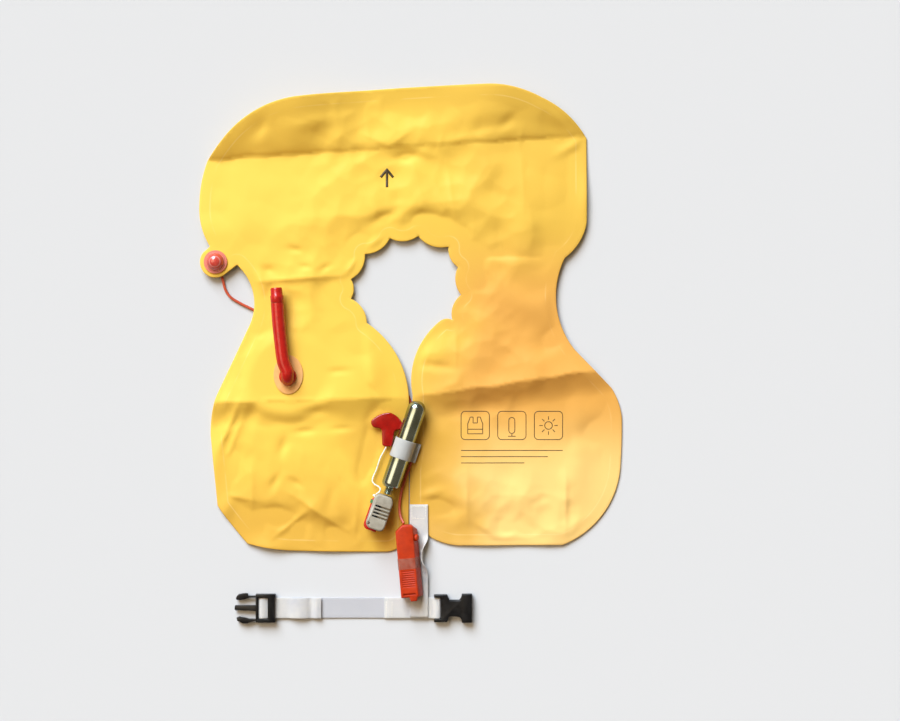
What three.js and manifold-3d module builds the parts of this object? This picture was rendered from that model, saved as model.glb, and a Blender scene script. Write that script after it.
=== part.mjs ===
// Aircraft life vest lying flat, front side up: two plies of coated cloth with a scalloped neck hole, a gas
// cylinder with its inflator, a mouth tube, a rescue lamp with its battery, and a waist belt with an open
// buckle. Millimetres, +Z up, +Y towards the top edge of the vest, origin on the floor under its middle.

import * as THREE from "three";
import { mergeVertices } from "three/addons/utils/BufferGeometryUtils.js";
import Module from "manifold-3d";

const wasm = await Module();
wasm.setup();

const { degToRad, lerp, smoothstep } = THREE.MathUtils;

// Cloth of the vest
const PLY = 1.2; // thickness of each ply
const GAP = 0.3; // clearance between pieces that touch on the real vest
const REST_GAP = 0.5; // clearance under a piece that lies on the uneven cloth
const WELD_WIDTH = 13; // rim where the two plies are welded flat
const SLACK = 2.6; // air left between the plies, away from the weld
const SLACK_RUN = 45; // distance from the weld over which the slack grows
const MIDDLE_LIFT = 4.5; // height at which the creases hold the middle of the vest
const SHEET = { halfWidth: 260, bottom: -245, top: 332 };
const SHEET_CELLS = { columns: 24, lobeRows: 8, middleRows: 12, flapRows: 5 };
const ROW_CROWDING = 1.4; // rows of the sheet draw closer towards a crease
const ARC_STEP = 12; // longest straight step along a curved edge of the cloth
const SMALL_STEP = 3.2; // and along one of a small piece

// Facets and cutting
const FINE_SIDES = 20; // sides of a large round
const SIDES = 16; // of a middling one
const SMALL_SIDES = 12; // of a small one
const OVAL_SIDES = 28;
const DOME_ARCS = 5; // steps in a quarter round
const SHOULDER_ARCS = 3;
const BAND_ARCS = 10; // steps in the half round of the band
const OVERCUT = 20; // how far a cutting shape reaches past what it cuts
const ROOT = 1; // how deep a bar or tooth is rooted in its frame
const PROBE_STEP = 4; // spacing of the points that feel for the cloth below a lying piece
const PROBE_SHARES = [-0.6, -0.3, 0, 0.3, 0.6]; // their places across a round piece, by its radius
const TAB_SHARES = [0.35, 0.7, 1]; // and from the foot of the pull tab to its edge

// Outline of the vest, counterclockwise. bulge bends the run to the next row: the tangent of a quarter of the
// arc's angle, positive where the edge swells outwards.
const SLIT_EDGE = [
  { at: "left lobe, inner corner", x: -27, y: -236, bulge: 0.35 },
  { at: "slit, left foot", x: -2, y: -211, bulge: 0 },
  { at: "slit, left top", x: -1.5, y: -55, bulge: 0.25 },
];
const NECK_CENTRE = { x: -5.1, y: 84.6 };
const SCALLOP_BULGE = 0.3;
const SCALLOP_CUSPS = [
  { turn: 224, radius: 65.4 },
  { turn: 194, radius: 68.2 },
  { turn: 174, radius: 66.4 },
  { turn: 143, radius: 61.7 },
  { turn: 109, radius: 59.5 },
  { turn: 76, radius: 60.5 },
  { turn: 42, radius: 68.7 },
  { turn: 19, radius: 66 },
  { turn: -10, radius: 67.1 },
  { turn: -37, radius: 69.4 },
];
const OUTER_EDGE = [
  { at: "neck, right flare", x: 35.7, y: 41.4, bulge: 0.28 },
  { at: "slit, right top", x: 2.7, y: -47.4, bulge: 0 },
  { at: "slit, right foot", x: 2.7, y: -190, bulge: 0.2 },
  { at: "right lobe, inner corner", x: 44, y: -228, bulge: 0 },
  { at: "right lobe, foot", x: 183, y: -228, bulge: 0.3 },
  { at: "right lobe, side", x: 253, y: -131, bulge: 0.02 },
  { at: "right lobe, widest", x: 254.5, y: -75, bulge: 0.12 },
  { at: "right lobe, top", x: 242, y: -39, bulge: 0 },
  { at: "right waist, lower", x: 197.7, y: 6.6, bulge: -0.29 },
  { at: "right waist, upper", x: 185.7, y: 117, bulge: 0.2 },
  { at: "right shoulder", x: 212, y: 160, bulge: 0 },
  { at: "upper crease, right end", x: 212, y: 261, bulge: 0.156 },
  { at: "top, right corner", x: 157, y: 309, bulge: 0.117 },
  { at: "top, highest", x: 95.7, y: 325, bulge: 0.03 },
  { at: "top, left corner", x: -132, y: 309, bulge: 0.178 },
  { at: "flap, left side", x: -218.7, y: 265.8, bulge: 0.04 },
  { at: "upper crease, left end", x: -244, y: 234, bulge: 0.087 },
  { at: "left shoulder", x: -253.5, y: 181.8, bulge: 0.155 },
  { at: "lamp tab, upper notch", x: -240.3, y: 130.8, bulge: 0 },
  { at: "lamp tab, upper side", x: -248.6, y: 123.4, bulge: 0.84 },
  { at: "lamp tab, lower side", x: -223.5, y: 96.5, bulge: 0 },
  { at: "lamp tab, lower notch", x: -207.9, y: 108.6, bulge: -0.32 },
  { at: "left waist", x: -192.3, y: 37.8, bulge: 0 },
  { at: "left lobe, top", x: -231.9, y: -47.4, bulge: 0.097 },
  { at: "left lobe, widest", x: -240.3, y: -95.4, bulge: 0 },
  { at: "left lobe, side", x: -231.9, y: -180.6, bulge: 0.03 },
  { at: "left lobe, outer corner", x: -195.9, y: -226.2, bulge: 0.05 },
  { at: "left lobe, foot", x: -144, y: -234.6, bulge: 0.01 },
];

// Packing creases across the vest. level is y at x = 0. The lower one is a ridge, and the cloth falls away
// from it over a run on each side. The upper one is a valley on the floor, and the flap above it curls up.
const LOWER_CREASE = {
  level: -50, slopeLeft: 0.025, slopeRight: 0.145, height: 5, runAbove: 75, runBelow: 32,
};
const UPPER_CREASE = { level: 250, slopeLeft: 0.0635, slopeRight: 0.0635, runBelow: 90 };
const FLAP = { height: 20, run: 48 };
// Stiff pieces flatten the front ply under them, out to a radius, with a soft edge
const SEATS = [{ at: "mouth tube flange", x: -146, y: -22.9, radius: 40, fade: 20 }];
// The cylinder presses the lower crease down near the slit
const CREASE_SAG = { x: -5, width: 60, keep: 0.25 };

// Folds of the front ply: middle, direction in degrees, half length, half width, height
const FOLDS = [
  { at: "above the neck", x: 0, y: 168, turn: 8, reach: 62, width: 20, height: 2.6 },
  { at: "under the upper crease", x: 18, y: 236, turn: -12, reach: 36, width: 18, height: -2 },
  { at: "left of the neck", x: -126, y: 100, turn: 20, reach: 42, width: 20, height: 2 },
  { at: "right of the neck", x: 70, y: 124, turn: -18, reach: 34, width: 18, height: 2 },
  { at: "right shoulder", x: 134, y: 168, turn: 88, reach: 52, width: 18, height: 1.6 },
  { at: "left lobe, slanting", x: -92, y: -190, turn: 34, reach: 66, width: 22, height: 2.8 },
  { at: "left of the cylinder", x: -66, y: -128, turn: 77, reach: 60, width: 18, height: 2.6 },
  { at: "left lobe, outer side", x: -205, y: -118, turn: 84, reach: 52, width: 18, height: 2 },
  { at: "right lobe, inner side", x: 70, y: -170, turn: 88, reach: 48, width: 18, height: 1.8 },
  { at: "right lobe, outer side", x: 196, y: -150, turn: 80, reach: 52, width: 20, height: 2 },
  { at: "right lobe, foot", x: 110, y: -196, turn: 28, reach: 40, width: 20, height: 2 },
];

// Rescue lamp on its tab
const LAMP = { x: -233.5, y: 112.2, baseRadius: 13, baseHeight: 6, tabRadius: 34, tabFade: 30 };
const LENS = { flangeRadius: 14, flangeHeight: 1.8, domeRadius: 10.4, domeHeight: 9.5, wall: 1.4 };
const BULB = { radius: 3, stem: 1, arcs: 3 };

// Gas cylinder and inflator share one axis, from the cylinder's neck. turn is the lean of the axis.
const GAS = { x: -27.2, y: -166.2, turn: -19 };
const CYLINDER = { radius: 11.2, length: 118, neckRadius: 5, neckStart: 0.5, neckEnd: 8.5, shoulder: 6 };
const BAND = { from: 45.5, length: 23.5, wall: 1, foot: 1.4, tail: 7, tailLift: 3.8, splay: 0.4 };
const BODY = { right: 10, halfThick: 10.7, edge: 1.4, boreDepth: 12 };
const BODY_OUTLINE = [
  { at: "foot, left", x: -6.6, y: -44, bulge: 0 },
  { at: "foot, right", x: 5, y: -44, bulge: 0.35 },
  { at: "right side, foot", x: 10, y: -38, bulge: 0 },
  { at: "right side, top", x: 10, y: -9, bulge: 0.22 },
  { at: "shoulder, right", x: 5.5, y: -2, bulge: 0.05 },
  { at: "shoulder, left", x: -9.1, y: -2, bulge: 0.22 },
  { at: "left side, top", x: -13.6, y: -9, bulge: 0 },
  { at: "left side, foot", x: -13.6, y: -37, bulge: 0.38 },
];
const VENTS = { count: 4, first: -16, pitch: 4.2, width: 2.1, depth: 3.4, left: -9 };
const PIVOT = { x: -10.5, y: -38.5 };
const LEVER = { halfThick: 3.4, edge: 0.6, left: -15.5, right: -11.6, bottom: -47 };
const LEVER_OUTLINE = [
  { at: "tip, inner", x: -11.6, y: -9.5, bulge: 0.5 },
  { at: "tip, outer", x: -15.5, y: -9.5, bulge: 0 },
  { at: "heel, outer", x: -15.5, y: -41, bulge: 0.35 },
  { at: "heel, lower", x: -10.5, y: -47, bulge: 0 },
  { at: "foot, end", x: 1, y: -47, bulge: 0.6 },
  { at: "foot, upper", x: 1, y: -44.4, bulge: 0 },
  { at: "boss, foot", x: -4, y: -43.6, bulge: -0.2 },
  { at: "boss, side", x: -5.5, y: -38.5, bulge: 0.35 },
  { at: "boss, top", x: -11.6, y: -33.5, bulge: 0 },
];
const LEVER_ROOM = { side: 0.5, layer: 0.3, radius: 16 }; // where the lever swings inside the body
const PIN = { radius: 1.5, length: 22 };
const CLIP = { from: -15.5, length: 4, wall: 1, reach: 2.6 };
const KNOT = { x: -14.2, y: -6.2, radius: 2.2, rings: 6 };

// Pull tab and its lanyard
const PULL_TAB = { x: -27.5, y: -109, turn: -4, thick: 4.2, edge: 0.8 };
const PULL_TAB_OUTLINE = [
  { at: "foot, right", x: 3.2, y: 0, bulge: 0.38 },
  { at: "stem, right foot", x: 5.9, y: 3.4, bulge: 0.02 },
  { at: "stem, right top", x: 7, y: 16.4, bulge: -0.36 },
  { at: "right arm, root", x: 11, y: 20.6, bulge: 0.02 },
  { at: "right arm, lower tip", x: 13, y: 20.9, bulge: 0.42 },
  { at: "right arm, tip", x: 16.4, y: 28.8, bulge: 0.2 },
  { at: "crown", x: 0.3, y: 40.7, bulge: 0.2 },
  { at: "left arm, tip", x: -21.2, y: 29.6, bulge: 0.42 },
  { at: "left arm, lower tip", x: -16.6, y: 21.4, bulge: 0.02 },
  { at: "left arm, root", x: -11.4, y: 21, bulge: -0.36 },
  { at: "stem, left top", x: -7.6, y: 16.6, bulge: 0.02 },
  { at: "stem, left foot", x: -6.4, y: 3.4, bulge: 0.38 },
  { at: "foot, left", x: -3.6, y: 0, bulge: 0.05 },
];
const CORD_SIDES = 8;
const LANYARD_DIAMETER = 1.8;
const LANYARD_STEPS = 22;
const LANYARD_ROUTE = [
  { x: -29, y: -109.7, z: 8.4 },
  { x: -31.4, y: -114.5, z: 8 },
  { x: -35.1, y: -121, z: 8 },
  { x: -36.7, y: -125, z: 8.1 },
  { x: -38, y: -129, z: 8.2 },
  { x: -39.4, y: -133.4, z: 8.2 },
  { x: -41, y: -138, z: 8.2 },
  { x: -44.4, y: -145.5, z: 8.3 },
  { x: -45.4, y: -150.6, z: 9 },
  { x: -42.6, y: -154.4, z: 10.8 },
  { x: -38.4, y: -156.6, z: 13.4 },
  { x: -35.8, y: -159.4, z: 15.6 },
  { x: -36.4, y: -162.4, z: 16.8 },
  { x: -38.6, y: -164.4, z: 17.1 },
  { x: -40.7, y: -165.8, z: 17.2 },
];

// Mouth tube
const FLANGE = { x: -146, y: -22.9, halfWidth: 17.6, halfLength: 23.4, thick: 1 };
const TUBE_RADIUS = 7.8;
const TUBE_STEPS = 16;
const TUBE_ROUTE = [
  { x: -146.4, y: -27.4, rise: 0 },
  { x: -146.4, y: -27.4, rise: 3.4 },
  { x: -147.6, y: -22.5, rise: 8.2 },
  { x: -150.6, y: -9, rise: 9.6 },
  { x: -154, y: 14, rise: 9.4 },
  { x: -156.8, y: 40, rise: 9 },
  { x: -158.4, y: 62.8, rise: 8.8 },
];
const MOUTHPIECE_PROFILE = [
  { at: "foot, middle", radius: 0, height: 0.3 },
  { at: "foot, edge", radius: 7.4, height: 0.3 },
  { at: "shoulder, lower", radius: 7.9, height: 6.4 },
  { at: "shoulder, upper", radius: 7.9, height: 8.2 },
  { at: "mouth, lower", radius: 7.2, height: 9.4 },
  { at: "mouth, outer", radius: 6.9, height: 18 },
  { at: "mouth, inner", radius: 5.6, height: 18 },
  { at: "valve, edge", radius: 5.2, height: 14 },
  { at: "valve, middle", radius: 0, height: 14 },
];

// Battery on the lead
const BATTERY = { x: 2.5, y: -288.6, z: 6.3, turn: 5.1, length: 87, halfWidth: 13, thick: 17, edge: 1.2 };
const BATTERY_END = { chamfer: 7.5, crownLeft: -4, crownRight: 6, crownDrop: 1 };
const BATTERY_TAB = { left: -3.5, right: 7, length: 5, taper: 1.5 };
const BATTERY_SLOPE = { topX: 7.5, footZ: 4 }; // the right side slopes in from footZ to topX
const BATTERY_RIBS = { count: 8, first: 13, pitch: 2.6, left: -10, right: 5, width: 1, depth: 0.7 };
const BATTERY_SLOT = { y: 4, left: -10, right: 4.5, width: 1.8, depth: 3 };
const PLUG = { y: 70, radius: 4.3, length: 3.4, edge: 0.9 };
const TAPE = { from: 34, length: 13, wall: 0.4 };

// Lead from the lamp to the battery: along the floor, under the left lobe, up out of the slit
const LEAD_DIAMETER = 3;
const LEAD_STEPS = 40;
const LEAD_ROUTE = [
  { x: -228.7, y: 99.7, z: 2.6 },
  { x: -225.4, y: 90, z: 1.9 },
  { x: -222.6, y: 79.5, z: 1.6 },
  { x: -216.6, y: 70.5, z: 1.6 },
  { x: -205, y: 63, z: 1.6 },
  { x: -189, y: 55, z: 1.6 },
  { x: -165, y: 42, z: 1.6 },
  { x: -130, y: 22, z: 1.6 },
  { x: -90, y: 0, z: 1.6 },
  { x: -50, y: -21, z: 1.6 },
  { x: -18, y: -36.5, z: 1.6 },
  { x: -5, y: -45, z: 1.6 },
  { x: 0, y: -56, z: 1.6 },
  { x: 0.4, y: -72, z: 1.6 },
  { x: 0.6, y: -90, z: 1.7 },
  { x: 1.4, y: -104, z: 3.5 },
  { x: 2.6, y: -114, z: 5.4 },
  { x: 2.8, y: -122, z: 5.6 },
  { x: -0.8, y: -133, z: 5.4 },
  { x: -5.6, y: -146, z: 5.4 },
  { x: -9.8, y: -160, z: 5.4 },
  { x: -12.4, y: -174, z: 5.6 },
  { x: -13, y: -184, z: 6 },
  { x: -11.4, y: -194, z: 9 },
  { x: -7.6, y: -201.1, z: 13 },
];

// Webbing, belt and buckle
const WEBBING = 1.5;
const STRAP_WIDTH = 22;
const STRAP_ROUTE = [
  { y: -179, x: 10.2, z: 4.3, roll: 0 },
  { y: -200, x: 10.4, z: 4.3, roll: 0 },
  { y: -218, x: 10.6, z: 4.3, roll: 0 },
  { y: -232, x: 10.6, z: 4.2, roll: 3 },
  { y: -246, x: 10.6, z: 3.6, roll: 11 },
  { y: -260, x: 10.6, z: 3.3, roll: 11 },
  { y: -274, x: 10.5, z: 3, roll: 5 },
  { y: -284, x: 10.4, z: 4, roll: 0 },
  { y: -292, x: 10.4, z: 4.9, roll: 0 },
  { y: -315, x: 10.4, z: 4.9, roll: 0 },
];
const BELT = { y: -303.5, width: 25 };
// The belt seen from its edge: from the free tail back through the male half, along the floor, round the bar
// of the female half, and back on itself to the sewn end
const BELT_ROUTE = [
  { x: -107, z: 4.2 },
  { x: -113, z: 5.1 },
  { x: -119, z: 3 },
  { x: -126, z: 5.3 },
  { x: -133, z: 6.2 },
  { x: -140, z: 5.2 },
  { x: -147, z: 2.9 },
  { x: -155, z: 2.7 },
  { x: -163, z: 3.6 },
  { x: -171, z: 4.2 },
  { x: -174.5, z: 5.6 },
  { x: -178.5, z: 6.3 },
  { x: -181.2, z: 5.2 },
  { x: -181.9, z: 3.5 },
  { x: -181.2, z: 1.7 },
  { x: -178.5, z: 0.75 },
  { x: 33, z: 0.75 },
  { x: 35.2, z: 1.7 },
  { x: 35.8, z: 3.5 },
  { x: 35.2, z: 5.3 },
  { x: 32.6, z: 6.3 },
  { x: 29, z: 5.6 },
  { x: 25, z: 3.4 },
  { x: 20, z: 2.6 },
  { x: -31.5, z: 2.6 },
];
const MALE = { x: -185.5, length: 23.4, halfWidth: 17, rail: 4.1, wall: 2.4, height: 9 };
const MALE_BARS = [
  { from: 5.8, to: 8.6, low: 2.2, high: 4.8 },
  { from: 14.4, to: 22.9, low: 5.7, high: 9 },
];
const PRONG = { length: 27.4, halfWidth: 4.2, round: 2, low: 2, thick: 5, edge: 0.7 };
const ARM_OUTLINE = [
  { at: "root, inner", x: 1, y: 12.2, bulge: 0 },
  { at: "root, outer", x: 1, y: 15.7, bulge: 0 },
  { at: "neck, outer", x: -8.5, y: 15.7, bulge: 0 },
  { at: "head, outer heel", x: -9, y: 18.3, bulge: 0.24 },
  { at: "head, tip", x: -25.2, y: 13.8, bulge: 0.3 },
  { at: "head, inner", x: -23, y: 10, bulge: 0.1 },
  { at: "neck, inner", x: -8, y: 12, bulge: 0 },
];
const FEMALE = { x: 36.9, height: 9.6, wall: 1.9, edge: 0.8, railHalf: 12.9 };
const SOCKET = { from: 9, mouth: 37.2, halfWidth: 14.2 };
const FEMALE_BAR = { from: -5.6, to: -3, low: 2.3, high: 4.7 };
const FEMALE_OUTLINE = [
  { at: "rail end, lower", x: -8.4, y: -16.4, bulge: 0 },
  { at: "flange, lower", x: 7.4, y: -16.4, bulge: 0 },
  { at: "waist, lower left", x: 10, y: -9.8, bulge: 0 },
  { at: "waist, lower right", x: 22, y: -9.8, bulge: -0.2 },
  { at: "mouth, lower heel", x: 25, y: -17.2, bulge: 0 },
  { at: "mouth, lower", x: 37.2, y: -17.2, bulge: 0 },
  { at: "mouth, upper", x: 37.2, y: 17.2, bulge: 0 },
  { at: "mouth, upper heel", x: 25, y: 17.2, bulge: -0.2 },
  { at: "waist, upper right", x: 22, y: 9.8, bulge: 0 },
  { at: "waist, upper left", x: 10, y: 9.8, bulge: 0 },
  { at: "flange, upper", x: 7.4, y: 16.4, bulge: 0 },
  { at: "rail end, upper", x: -8.4, y: 16.4, bulge: 0 },
];

const MATERIALS = {
  clothFront: { color: 0xf6d253, roughness: 0.5, metalness: 0 },
  clothBack: { color: 0xeec74a, roughness: 0.55, metalness: 0 },
  redPlastic: { color: 0xb3211a, roughness: 0.28, metalness: 0 },
  lens: { color: 0xf0817a, roughness: 0.2, metalness: 0 },
  bulb: { color: 0xfff0dc, roughness: 0.2, metalness: 0 },
  blackPlastic: { color: 0x17181a, roughness: 0.45, metalness: 0 },
  redLead: { color: 0xb5341f, roughness: 0.45, metalness: 0 },
  orangePlastic: { color: 0xc03c1a, roughness: 0.4, metalness: 0 },
  tape: { color: 0x9a4a30, roughness: 0.3, metalness: 0 },
  plating: { color: 0xb7b391, roughness: 0.22, metalness: 1 },
  whiteWebbing: { color: 0xe2e1de, roughness: 0.8, metalness: 0 },
  greyCasting: { color: 0xb4afa4, roughness: 0.45, metalness: 0.4 },
  steelPin: { color: 0x8f8c86, roughness: 0.35, metalness: 1 },
  greenPlastic: { color: 0x4d8a54, roughness: 0.4, metalness: 0 },
  whiteCord: { color: 0xe9e4d6, roughness: 0.7, metalness: 0 },
  patch: { color: 0xe6ac5f, roughness: 0.4, metalness: 0 },
};

// General shaping

function bulgedRun(from, to, step) {
  if (!from.bulge) return [new THREE.Vector2(from.x, from.y)];
  const chord = new THREE.Vector2(to.x - from.x, to.y - from.y);
  const sweep = 4 * Math.atan(from.bulge);
  const radius = chord.length() / (2 * Math.sin(sweep / 2));
  const inward = new THREE.Vector2(-chord.y, chord.x).normalize();
  const centre = new THREE.Vector2(from.x, from.y)
    .addScaledVector(chord, 0.5)
    .addScaledVector(inward, radius * Math.cos(sweep / 2));
  const start = Math.atan2(from.y - centre.y, from.x - centre.x);
  const count = Math.max(2, Math.ceil(Math.abs(radius * sweep) / step));
  return Array.from({ length: count }, (_, k) => {
    const angle = start + (sweep * k) / count;
    const reach = Math.abs(radius);
    return new THREE.Vector2(centre.x + reach * Math.cos(angle), centre.y + reach * Math.sin(angle));
  });
}

function bulgedOutline(rows, step) {
  return rows.flatMap((row, i) => bulgedRun(row, rows[(i + 1) % rows.length], step));
}

// A flat plate of an outline, standing on its own z = 0
function plate(points, thick, edge = 0) {
  const geometry = new THREE.ExtrudeGeometry(new THREE.Shape(points), {
    depth: thick - 2 * edge,
    bevelEnabled: edge > 0,
    bevelSize: edge,
    bevelOffset: -edge,
    bevelThickness: edge,
    bevelSegments: 1,
    curveSegments: 1,
  });
  return geometry.translate(0, 0, edge);
}

function block(low, high) {
  const size = [0, 1, 2].map((i) => high[i] - low[i]);
  const middle = [0, 1, 2].map((i) => (high[i] + low[i]) / 2);
  return new THREE.BoxGeometry(...size).translate(...middle);
}

// A round post along Z
function post(x, y, low, high, radius, sides) {
  const geometry = new THREE.CylinderGeometry(radius, radius, high - low, sides);
  return geometry.rotateX(Math.PI / 2).translate(x, y, (low + high) / 2);
}

// A ribbon of even thickness along rows of u and v, as an outline in that plane
function ribbonOutline(rows, thick) {
  const points = rows.map(([u, v]) => new THREE.Vector2(u, v));
  const sides = points.map((point, i) => {
    const before = points[Math.max(i - 1, 0)];
    const after = points[Math.min(i + 1, points.length - 1)];
    const into = point.clone().sub(before).normalize();
    const out = after.clone().sub(point).normalize();
    const along = into.add(out).normalize();
    const half = thick / 2;
    return { point, normal: new THREE.Vector2(-along.y, along.x).multiplyScalar(half) };
  });
  const left = sides.map(({ point, normal }) => point.clone().add(normal));
  const right = sides.map(({ point, normal }) => point.clone().sub(normal)).reverse();
  return [...left, ...right];
}

// A solid through rings of equal length, closed by a fan at each end
function loft(rings) {
  const count = rings[0].length;
  const corners = rings.flat().flatMap((p) => [p.x, p.y, p.z]);
  const faces = [];
  for (let r = 0; r + 1 < rings.length; r++) {
    for (let i = 0; i < count; i++) {
      const a = r * count + i;
      const b = r * count + ((i + 1) % count);
      faces.push(a, b, b + count, a, b + count, a + count);
    }
  }
  const last = (rings.length - 1) * count;
  for (let i = 1; i + 1 < count; i++) {
    faces.push(0, i + 1, i, last, last + i, last + i + 1);
  }
  return meshOf(corners, faces);
}

function meshOf(corners, faces) {
  const geometry = new THREE.BufferGeometry();
  geometry.setAttribute("position", new THREE.Float32BufferAttribute(corners, 3));
  geometry.setIndex(faces);
  return geometry;
}

// A cord of even diameter along hand-laid points
function cord(rows, diameter, steps) {
  const path = new THREE.CatmullRomCurve3(rows.map((row) => new THREE.Vector3(row.x, row.y, row.z)));
  const section = Array.from({ length: CORD_SIDES }, (_, k) => {
    const angle = (2 * Math.PI * k) / CORD_SIDES;
    return new THREE.Vector2(Math.cos(angle), Math.sin(angle)).multiplyScalar(diameter / 2);
  });
  return new THREE.ExtrudeGeometry(new THREE.Shape(section), { steps, extrudePath: path });
}

// A closed mesh as a solid that can be joined and cut. Corners within the tolerance become one.
function solidOf(geometry, tolerance = 1e-4) {
  const bare = geometry.clone();
  bare.deleteAttribute("normal");
  bare.deleteAttribute("uv");
  const merged = mergeVertices(bare, tolerance);
  const index = merged.index.array;
  const kept = [];
  for (let i = 0; i < index.length; i += 3) {
    const [a, b, c] = [index[i], index[i + 1], index[i + 2]];
    if (a !== b && b !== c && a !== c) kept.push(a, b, c);
  }
  const vertProperties = new Float32Array(merged.attributes.position.array);
  return new wasm.Manifold(new wasm.Mesh({ numProp: 3, vertProperties, triVerts: new Uint32Array(kept) }));
}

function geometryOf(solid) {
  const mesh = solid.getMesh();
  const geometry = new THREE.BufferGeometry();
  geometry.setAttribute("position", new THREE.BufferAttribute(mesh.vertProperties, 3));
  geometry.setIndex(new THREE.BufferAttribute(mesh.triVerts, 1));
  return geometry;
}

function cutAway(geometry, cutters) {
  return geometryOf(cutters.reduce((solid, cutter) => solid.subtract(solidOf(cutter)), solidOf(geometry)));
}

function joined(geometries) {
  return geometryOf(geometries.map(solidOf).reduce((whole, solid) => whole.add(solid)));
}

function part(name, geometry, finish) {
  const mesh = new THREE.Mesh(geometry, new THREE.MeshStandardMaterial(MATERIALS[finish]));
  mesh.name = name;
  return mesh;
}

// Shape of the lying cloth

function vestOutline() {
  const neck = SCALLOP_CUSPS.map(({ turn, radius }) => ({
    x: NECK_CENTRE.x + radius * Math.cos(degToRad(turn)),
    y: NECK_CENTRE.y + radius * Math.sin(degToRad(turn)),
    bulge: SCALLOP_BULGE,
  }));
  return bulgedOutline([...SLIT_EDGE, ...neck, ...OUTER_EDGE], ARC_STEP);
}

const OUTLINE = vestOutline();

function isInside(x, y) {
  let inside = false;
  OUTLINE.forEach((a, i) => {
    const b = OUTLINE[(i + 1) % OUTLINE.length];
    if (a.y > y !== b.y > y && x < a.x + ((b.x - a.x) * (y - a.y)) / (b.y - a.y)) inside = !inside;
  });
  return inside;
}

// Distance from the rim into the cloth, zero outside
function rimDistance(x, y) {
  if (!isInside(x, y)) return 0;
  const here = new THREE.Vector3(x, y, 0);
  const nearest = new THREE.Vector3();
  const distances = OUTLINE.map((a, i) => {
    const b = OUTLINE[(i + 1) % OUTLINE.length];
    const edge = new THREE.Line3(new THREE.Vector3(a.x, a.y, 0), new THREE.Vector3(b.x, b.y, 0));
    return edge.closestPointToPoint(here, true, nearest).distanceTo(here);
  });
  return Math.min(...distances);
}

function creaseAt(crease, x) {
  return crease.level + x * (x < 0 ? crease.slopeLeft : crease.slopeRight);
}

function ridgeRise(crease, x, y) {
  const offset = y - creaseAt(crease, x);
  const run = offset > 0 ? crease.runAbove : crease.runBelow;
  return crease.height * Math.max(0, 1 - Math.abs(offset) / run) ** 2;
}

function flapRise(x, y) {
  const beyond = Math.max(0, y - creaseAt(UPPER_CREASE, x));
  return FLAP.height * (1 - Math.exp(-beyond / FLAP.run));
}

// Height of the back ply's underside above the floor
function backUnderside(x, y) {
  const low = creaseAt(LOWER_CREASE, x);
  const high = creaseAt(UPPER_CREASE, x);
  const aboveLower = smoothstep(y, low - LOWER_CREASE.runBelow, low);
  const belowUpper = 1 - smoothstep(y, high - UPPER_CREASE.runBelow, high);
  const held = aboveLower * belowUpper;
  const pressed = Math.exp(-(((x - CREASE_SAG.x) / CREASE_SAG.width) ** 2));
  const sag = lerp(1, CREASE_SAG.keep, pressed);
  const lying = MIDDLE_LIFT * held + ridgeRise(LOWER_CREASE, x, y) * sag + flapRise(x, y);
  const fromLamp = Math.hypot(x - LAMP.x, y - LAMP.y);
  const onLamp = 1 - smoothstep(fromLamp, LAMP.tabRadius, LAMP.tabRadius + LAMP.tabFade);
  return lerp(lying, LAMP.baseHeight + GAP, onLamp);
}

function foldRise(fold, x, y) {
  const turn = degToRad(fold.turn);
  const along = ((x - fold.x) * Math.cos(turn) + (y - fold.y) * Math.sin(turn)) / fold.reach;
  const across = ((y - fold.y) * Math.cos(turn) - (x - fold.x) * Math.sin(turn)) / fold.width;
  return fold.height * Math.exp(-along * along - across * across);
}

function frontUnderside(x, y) {
  const loose = smoothstep(rimDistance(x, y), WELD_WIDTH, WELD_WIDTH + SLACK_RUN);
  const folds = FOLDS.reduce((sum, fold) => sum + foldRise(fold, x, y), 0);
  const onBack = backUnderside(x, y) + PLY + GAP;
  const lying = onBack + Math.max(0, loose * (SLACK + folds));
  const seated = SEATS.reduce((height, seat) => {
    const fromSeat = Math.hypot(x - seat.x, y - seat.y);
    const level = backUnderside(seat.x, seat.y) + PLY + GAP + SLACK;
    return lerp(level, height, smoothstep(fromSeat, seat.radius, seat.radius + seat.fade));
  }, lying);
  return Math.max(onBack, seated);
}

function vestTop(x, y) {
  return frontUnderside(x, y) + PLY;
}

// Height at which a piece comes to rest on the vest. Each probe is a point of its underside: x, y and its
// rise over the lowest one.
function restingHeight(probes) {
  return REST_GAP + Math.max(...probes.map(({ x, y, rise }) => vestTop(x, y) - rise));
}

function sheetRows(x) {
  const low = creaseAt(LOWER_CREASE, x);
  const high = creaseAt(UPPER_CREASE, x);
  const rows = [];
  const { lobeRows, middleRows, flapRows } = SHEET_CELLS;
  for (let i = lobeRows; i > 0; i--) {
    rows.push(lerp(low, SHEET.bottom, (i / lobeRows) ** ROW_CROWDING));
  }
  for (let i = 0; i < middleRows; i++) {
    rows.push(lerp(low, high, i / middleRows));
  }
  for (let i = 0; i <= flapRows; i++) {
    rows.push(lerp(high, SHEET.top, (i / flapRows) ** ROW_CROWDING));
  }
  return rows;
}

// The outer corners of a grid, in order round it
function gridBorder(columns, rows) {
  const border = [];
  for (let i = 0; i + 1 < columns; i++) border.push([i, 0]);
  for (let j = 0; j + 1 < rows; j++) border.push([columns - 1, j]);
  for (let i = columns - 1; i > 0; i--) border.push([i, rows - 1]);
  for (let j = rows - 1; j > 0; j--) border.push([0, j]);
  return border;
}

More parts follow.
